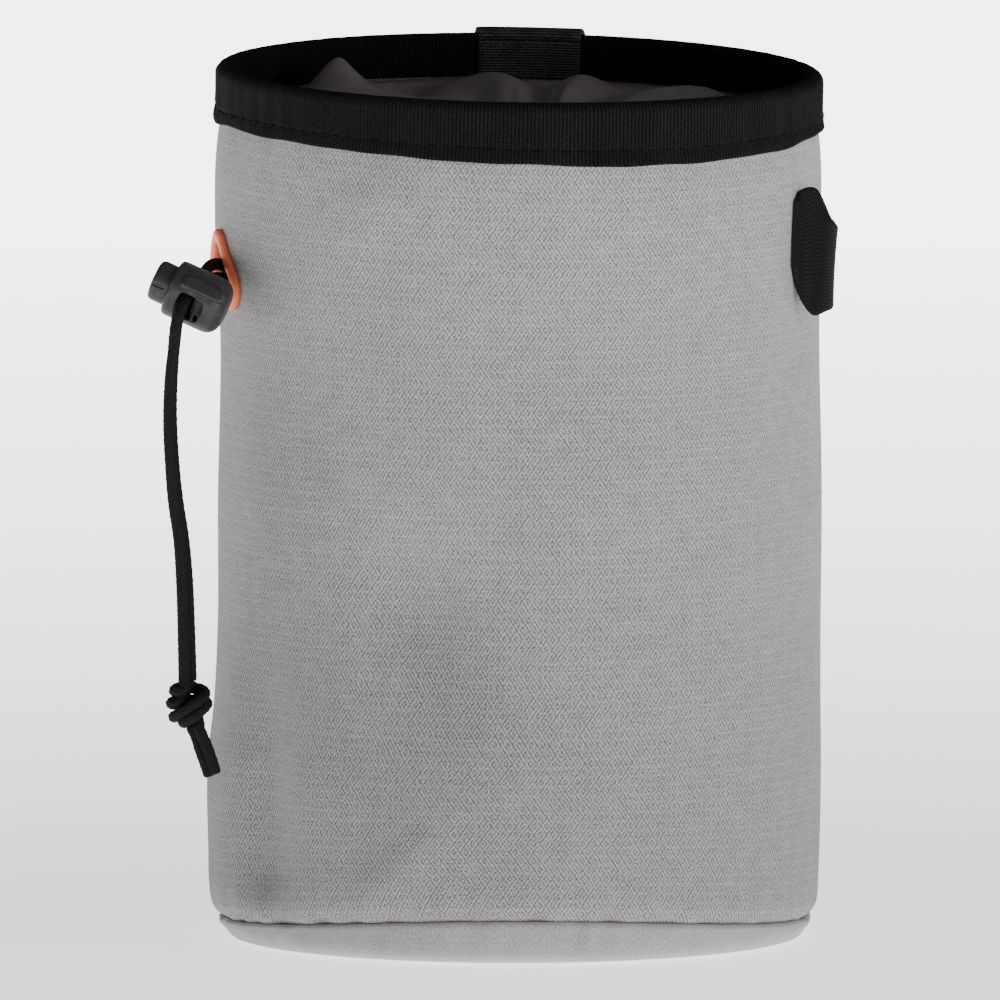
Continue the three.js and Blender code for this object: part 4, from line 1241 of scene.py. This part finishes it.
class CHALK_OT_lock(bpy.types.Operator):
    """The cord lock: a barrel with a raised rib, a hollow round the cord and a sprung button in its open
    end."""

    bl_idname = "chalk_bag.lock"
    bl_label = "Cord lock"

    def execute(self, context):
        s = sizes()
        half = s.lock_length / 2
        radius = s.lock_diameter / 2
        bore = radius - s.lock_wall
        cord_place = -1.8 * MM
        room = s.cord + 2 * s.gap
        rooms = 2 * s.cord + 0.1 * MM + 2 * s.gap
        button_end = cord_place + room / 2 + s.lock_wall
        dome = np.linspace(0, np.pi / 2, 12)
        outside = [(-half, 0), (-half, radius - 0.9 * MM), (-half + 0.25 * MM, radius - 0.25 * MM),
                   (-half + 0.9 * MM, radius)]
        outside += [(half - 3 * MM + 3 * MM * math.sin(a), radius - 3 * MM * (1 - math.cos(a))) for a in dome]
        outside += [(half, 0)]
        body = lathe("body", outside)
        hollow = lathe("hollow", [
            (-s.lock_length, 0), (-s.lock_length, bore), (button_end + s.button_travel + s.gap, bore),
            (button_end + s.button_travel + s.gap, 0),
        ])
        tunnel = rounded_bar("tunnel", (cord_place + s.gap, 0, 0),
                             (room / 2 + s.gap, 2 * radius, rooms / 2), 0.3)
        turn = Matrix.Rotation(math.radians(-52), 4, "X")
        rib = rounded_bar("rib", (0.6 * MM, -radius + 0.35 * MM, 0), (4.6 * MM, 0.95 * MM, 1.45 * MM), 0.45)
        rib.transform(turn)
        recess = rounded_bar("recess", (-0.6 * MM, -radius - 0.3 * MM, 0), (2.6 * MM, 1.2 * MM, 2.9 * MM),
                             0.4)
        slot = rounded_bar("slot", (1.25 * MM, -radius, -1.6 * MM), (0.45 * MM, 2.2 * MM, 0.75 * MM), 0.3)
        solid = cut_or_joined("lock_barrel", body, [
            ("UNION", rib), ("DIFFERENCE", recess), ("DIFFERENCE", hollow), ("DIFFERENCE", tunnel),
            ("DIFFERENCE", slot),
        ])
        finish = plastic()
        shown("lock_barrel", moulded("lock_barrel", solid, 0.13 * MM), finish, "bag",
              ["lock_body"])
        stem_radius = bore - s.gap
        stem_start = -half - s.button_stand
        stem = lathe("stem", [
            (stem_start, 0), (stem_start, stem_radius - 0.9 * MM),
            (stem_start + 0.28 * MM, stem_radius - 0.28 * MM),
            (stem_start + 0.9 * MM, stem_radius), (button_end, stem_radius), (button_end, 0),
        ])
        slot_long = room + s.button_travel
        cord_slot = rounded_bar(
            "cord_slot", (cord_place + room / 2 - slot_long / 2, 0, 0),
            (slot_long / 2, 2 * radius, rooms / 2), 0.25
        )
        notch = rounded_bar("notch", (stem_start, -stem_radius, 1.2 * MM), (3.1 * MM, 0.5 * MM, 0.4 * MM),
                            0.4)
        button = cut_or_joined("lock_button_head", stem, [("DIFFERENCE", cord_slot), ("DIFFERENCE", notch)])
        shown(
            "lock_button_head", moulded("lock_button_head", button, 0.13 * MM), finish, "button",
            ["lock_button"],
        )
        return {"FINISHED"}


def area_light(name, place, target, size, watts):
    """A soft square light at a place, turned to a target."""
    light = bpy.data.lights.new(name, "AREA")
    light.shape = "RECTANGLE"
    light.size, light.size_y = size
    light.energy = watts
    lamp = bpy.data.objects.new(name, light)
    lamp.location = place
    lamp.rotation_euler = (Vector(target) - Vector(place)).to_track_quat("-Z", "Y").to_euler()
    bpy.context.scene.collection.objects.link(lamp)


class CHALK_OT_stage(bpy.types.Operator):
    """The stage: a pale floor, soft lights and the camera at the photograph's angle."""

    bl_idname = "chalk_bag.stage"
    bl_label = "Stage, lights and camera"

    def execute(self, context):
        scene = context.scene
        mesh = bpy.data.meshes.new("studio_floor")
        reach = 14.0
        mesh.from_pydata([(-reach, -reach, 0), (reach, -reach, 0), (reach, reach, 0), (-reach, reach, 0)],
                         [], [(0, 1, 2, 3)])
        mesh.materials.append(pale_floor())
        floor = bpy.data.objects.new("studio_floor", mesh)
        floor.location.z = -0.2 * MM
        scene.collection.objects.link(floor)
        world = bpy.data.worlds.new("studio")
        world.use_nodes = True
        world.node_tree.nodes["Background"].inputs[0].default_value = (1.0, 0.995, 0.99, 1.0)
        world.node_tree.nodes["Background"].inputs[1].default_value = SKY
        scene.world = world
        middle = (0, 0, 0.09)
        area_light("key_light", (1.25, -0.95, 0.35), middle, (0.8, 0.8), KEY_WATTS)
        area_light("fill_light", (-1.2, -0.8, 0.5), middle, (1.0, 1.0), FILL_WATTS)
        area_light("top_light", (0, 0.15, 1.3), middle, (1.2, 1.2), TOP_WATTS)
        data = bpy.data.cameras.new("camera")
        data.lens = CAMERA_LENS
        data.sensor_width = 36
        data.clip_start, data.clip_end = 0.1, 100
        camera = bpy.data.objects.new("camera", data)
        back = Vector((0, -math.cos(CAMERA_ELEVATION), math.sin(CAMERA_ELEVATION)))
        camera.location = CAMERA_TARGET + back * CAMERA_DISTANCE
        camera.rotation_euler = (-back).to_track_quat("-Z", "Y").to_euler()
        scene.collection.objects.link(camera)
        scene.camera = camera
        return {"FINISHED"}


OPERATORS = [
    CHALK_OT_wall, CHALK_OT_base, CHALK_OT_rim, CHALK_OT_collar, CHALK_OT_strip, CHALK_OT_loop,
    CHALK_OT_eyelet,
    CHALK_OT_cords, CHALK_OT_lock, CHALK_OT_stage,
]


class CHALK_PT_panel(bpy.types.Panel):
    """The chalk bag's sizes, colours and pieces."""

    bl_idname = "CHALK_PT_panel"
    bl_label = "Chalk bag"
    bl_space_type = "VIEW_3D"
    bl_region_type = "UI"
    bl_category = "Chalk bag"

    def draw(self, context):
        for group in (context.scene.chalk_bag_sizes, context.scene.chalk_bag_colours):
            column = self.layout.column()
            for name in group.__annotations__:
                column.prop(group, name)
        for operator in OPERATORS:
            self.layout.operator(operator.bl_idname)


CLASSES = [ChalkBagSizes, ChalkBagColours, *OPERATORS, CHALK_PT_panel]


def register():
    for kind in CLASSES:
        bpy.utils.register_class(kind)
    bpy.types.Scene.chalk_bag_sizes = bpy.props.PointerProperty(type=ChalkBagSizes)
    bpy.types.Scene.chalk_bag_colours = bpy.props.PointerProperty(type=ChalkBagColours)


def unregister():
    del bpy.types.Scene.chalk_bag_colours
    del bpy.types.Scene.chalk_bag_sizes
    for kind in reversed(CLASSES):
        bpy.utils.unregister_class(kind)


def main():
    """Builds every piece in turn."""
    register()
    for operator in OPERATORS:
        area, name = operator.bl_idname.split(".")
        getattr(getattr(bpy.ops, area), name)()


if __name__ == "__main__":
    main()
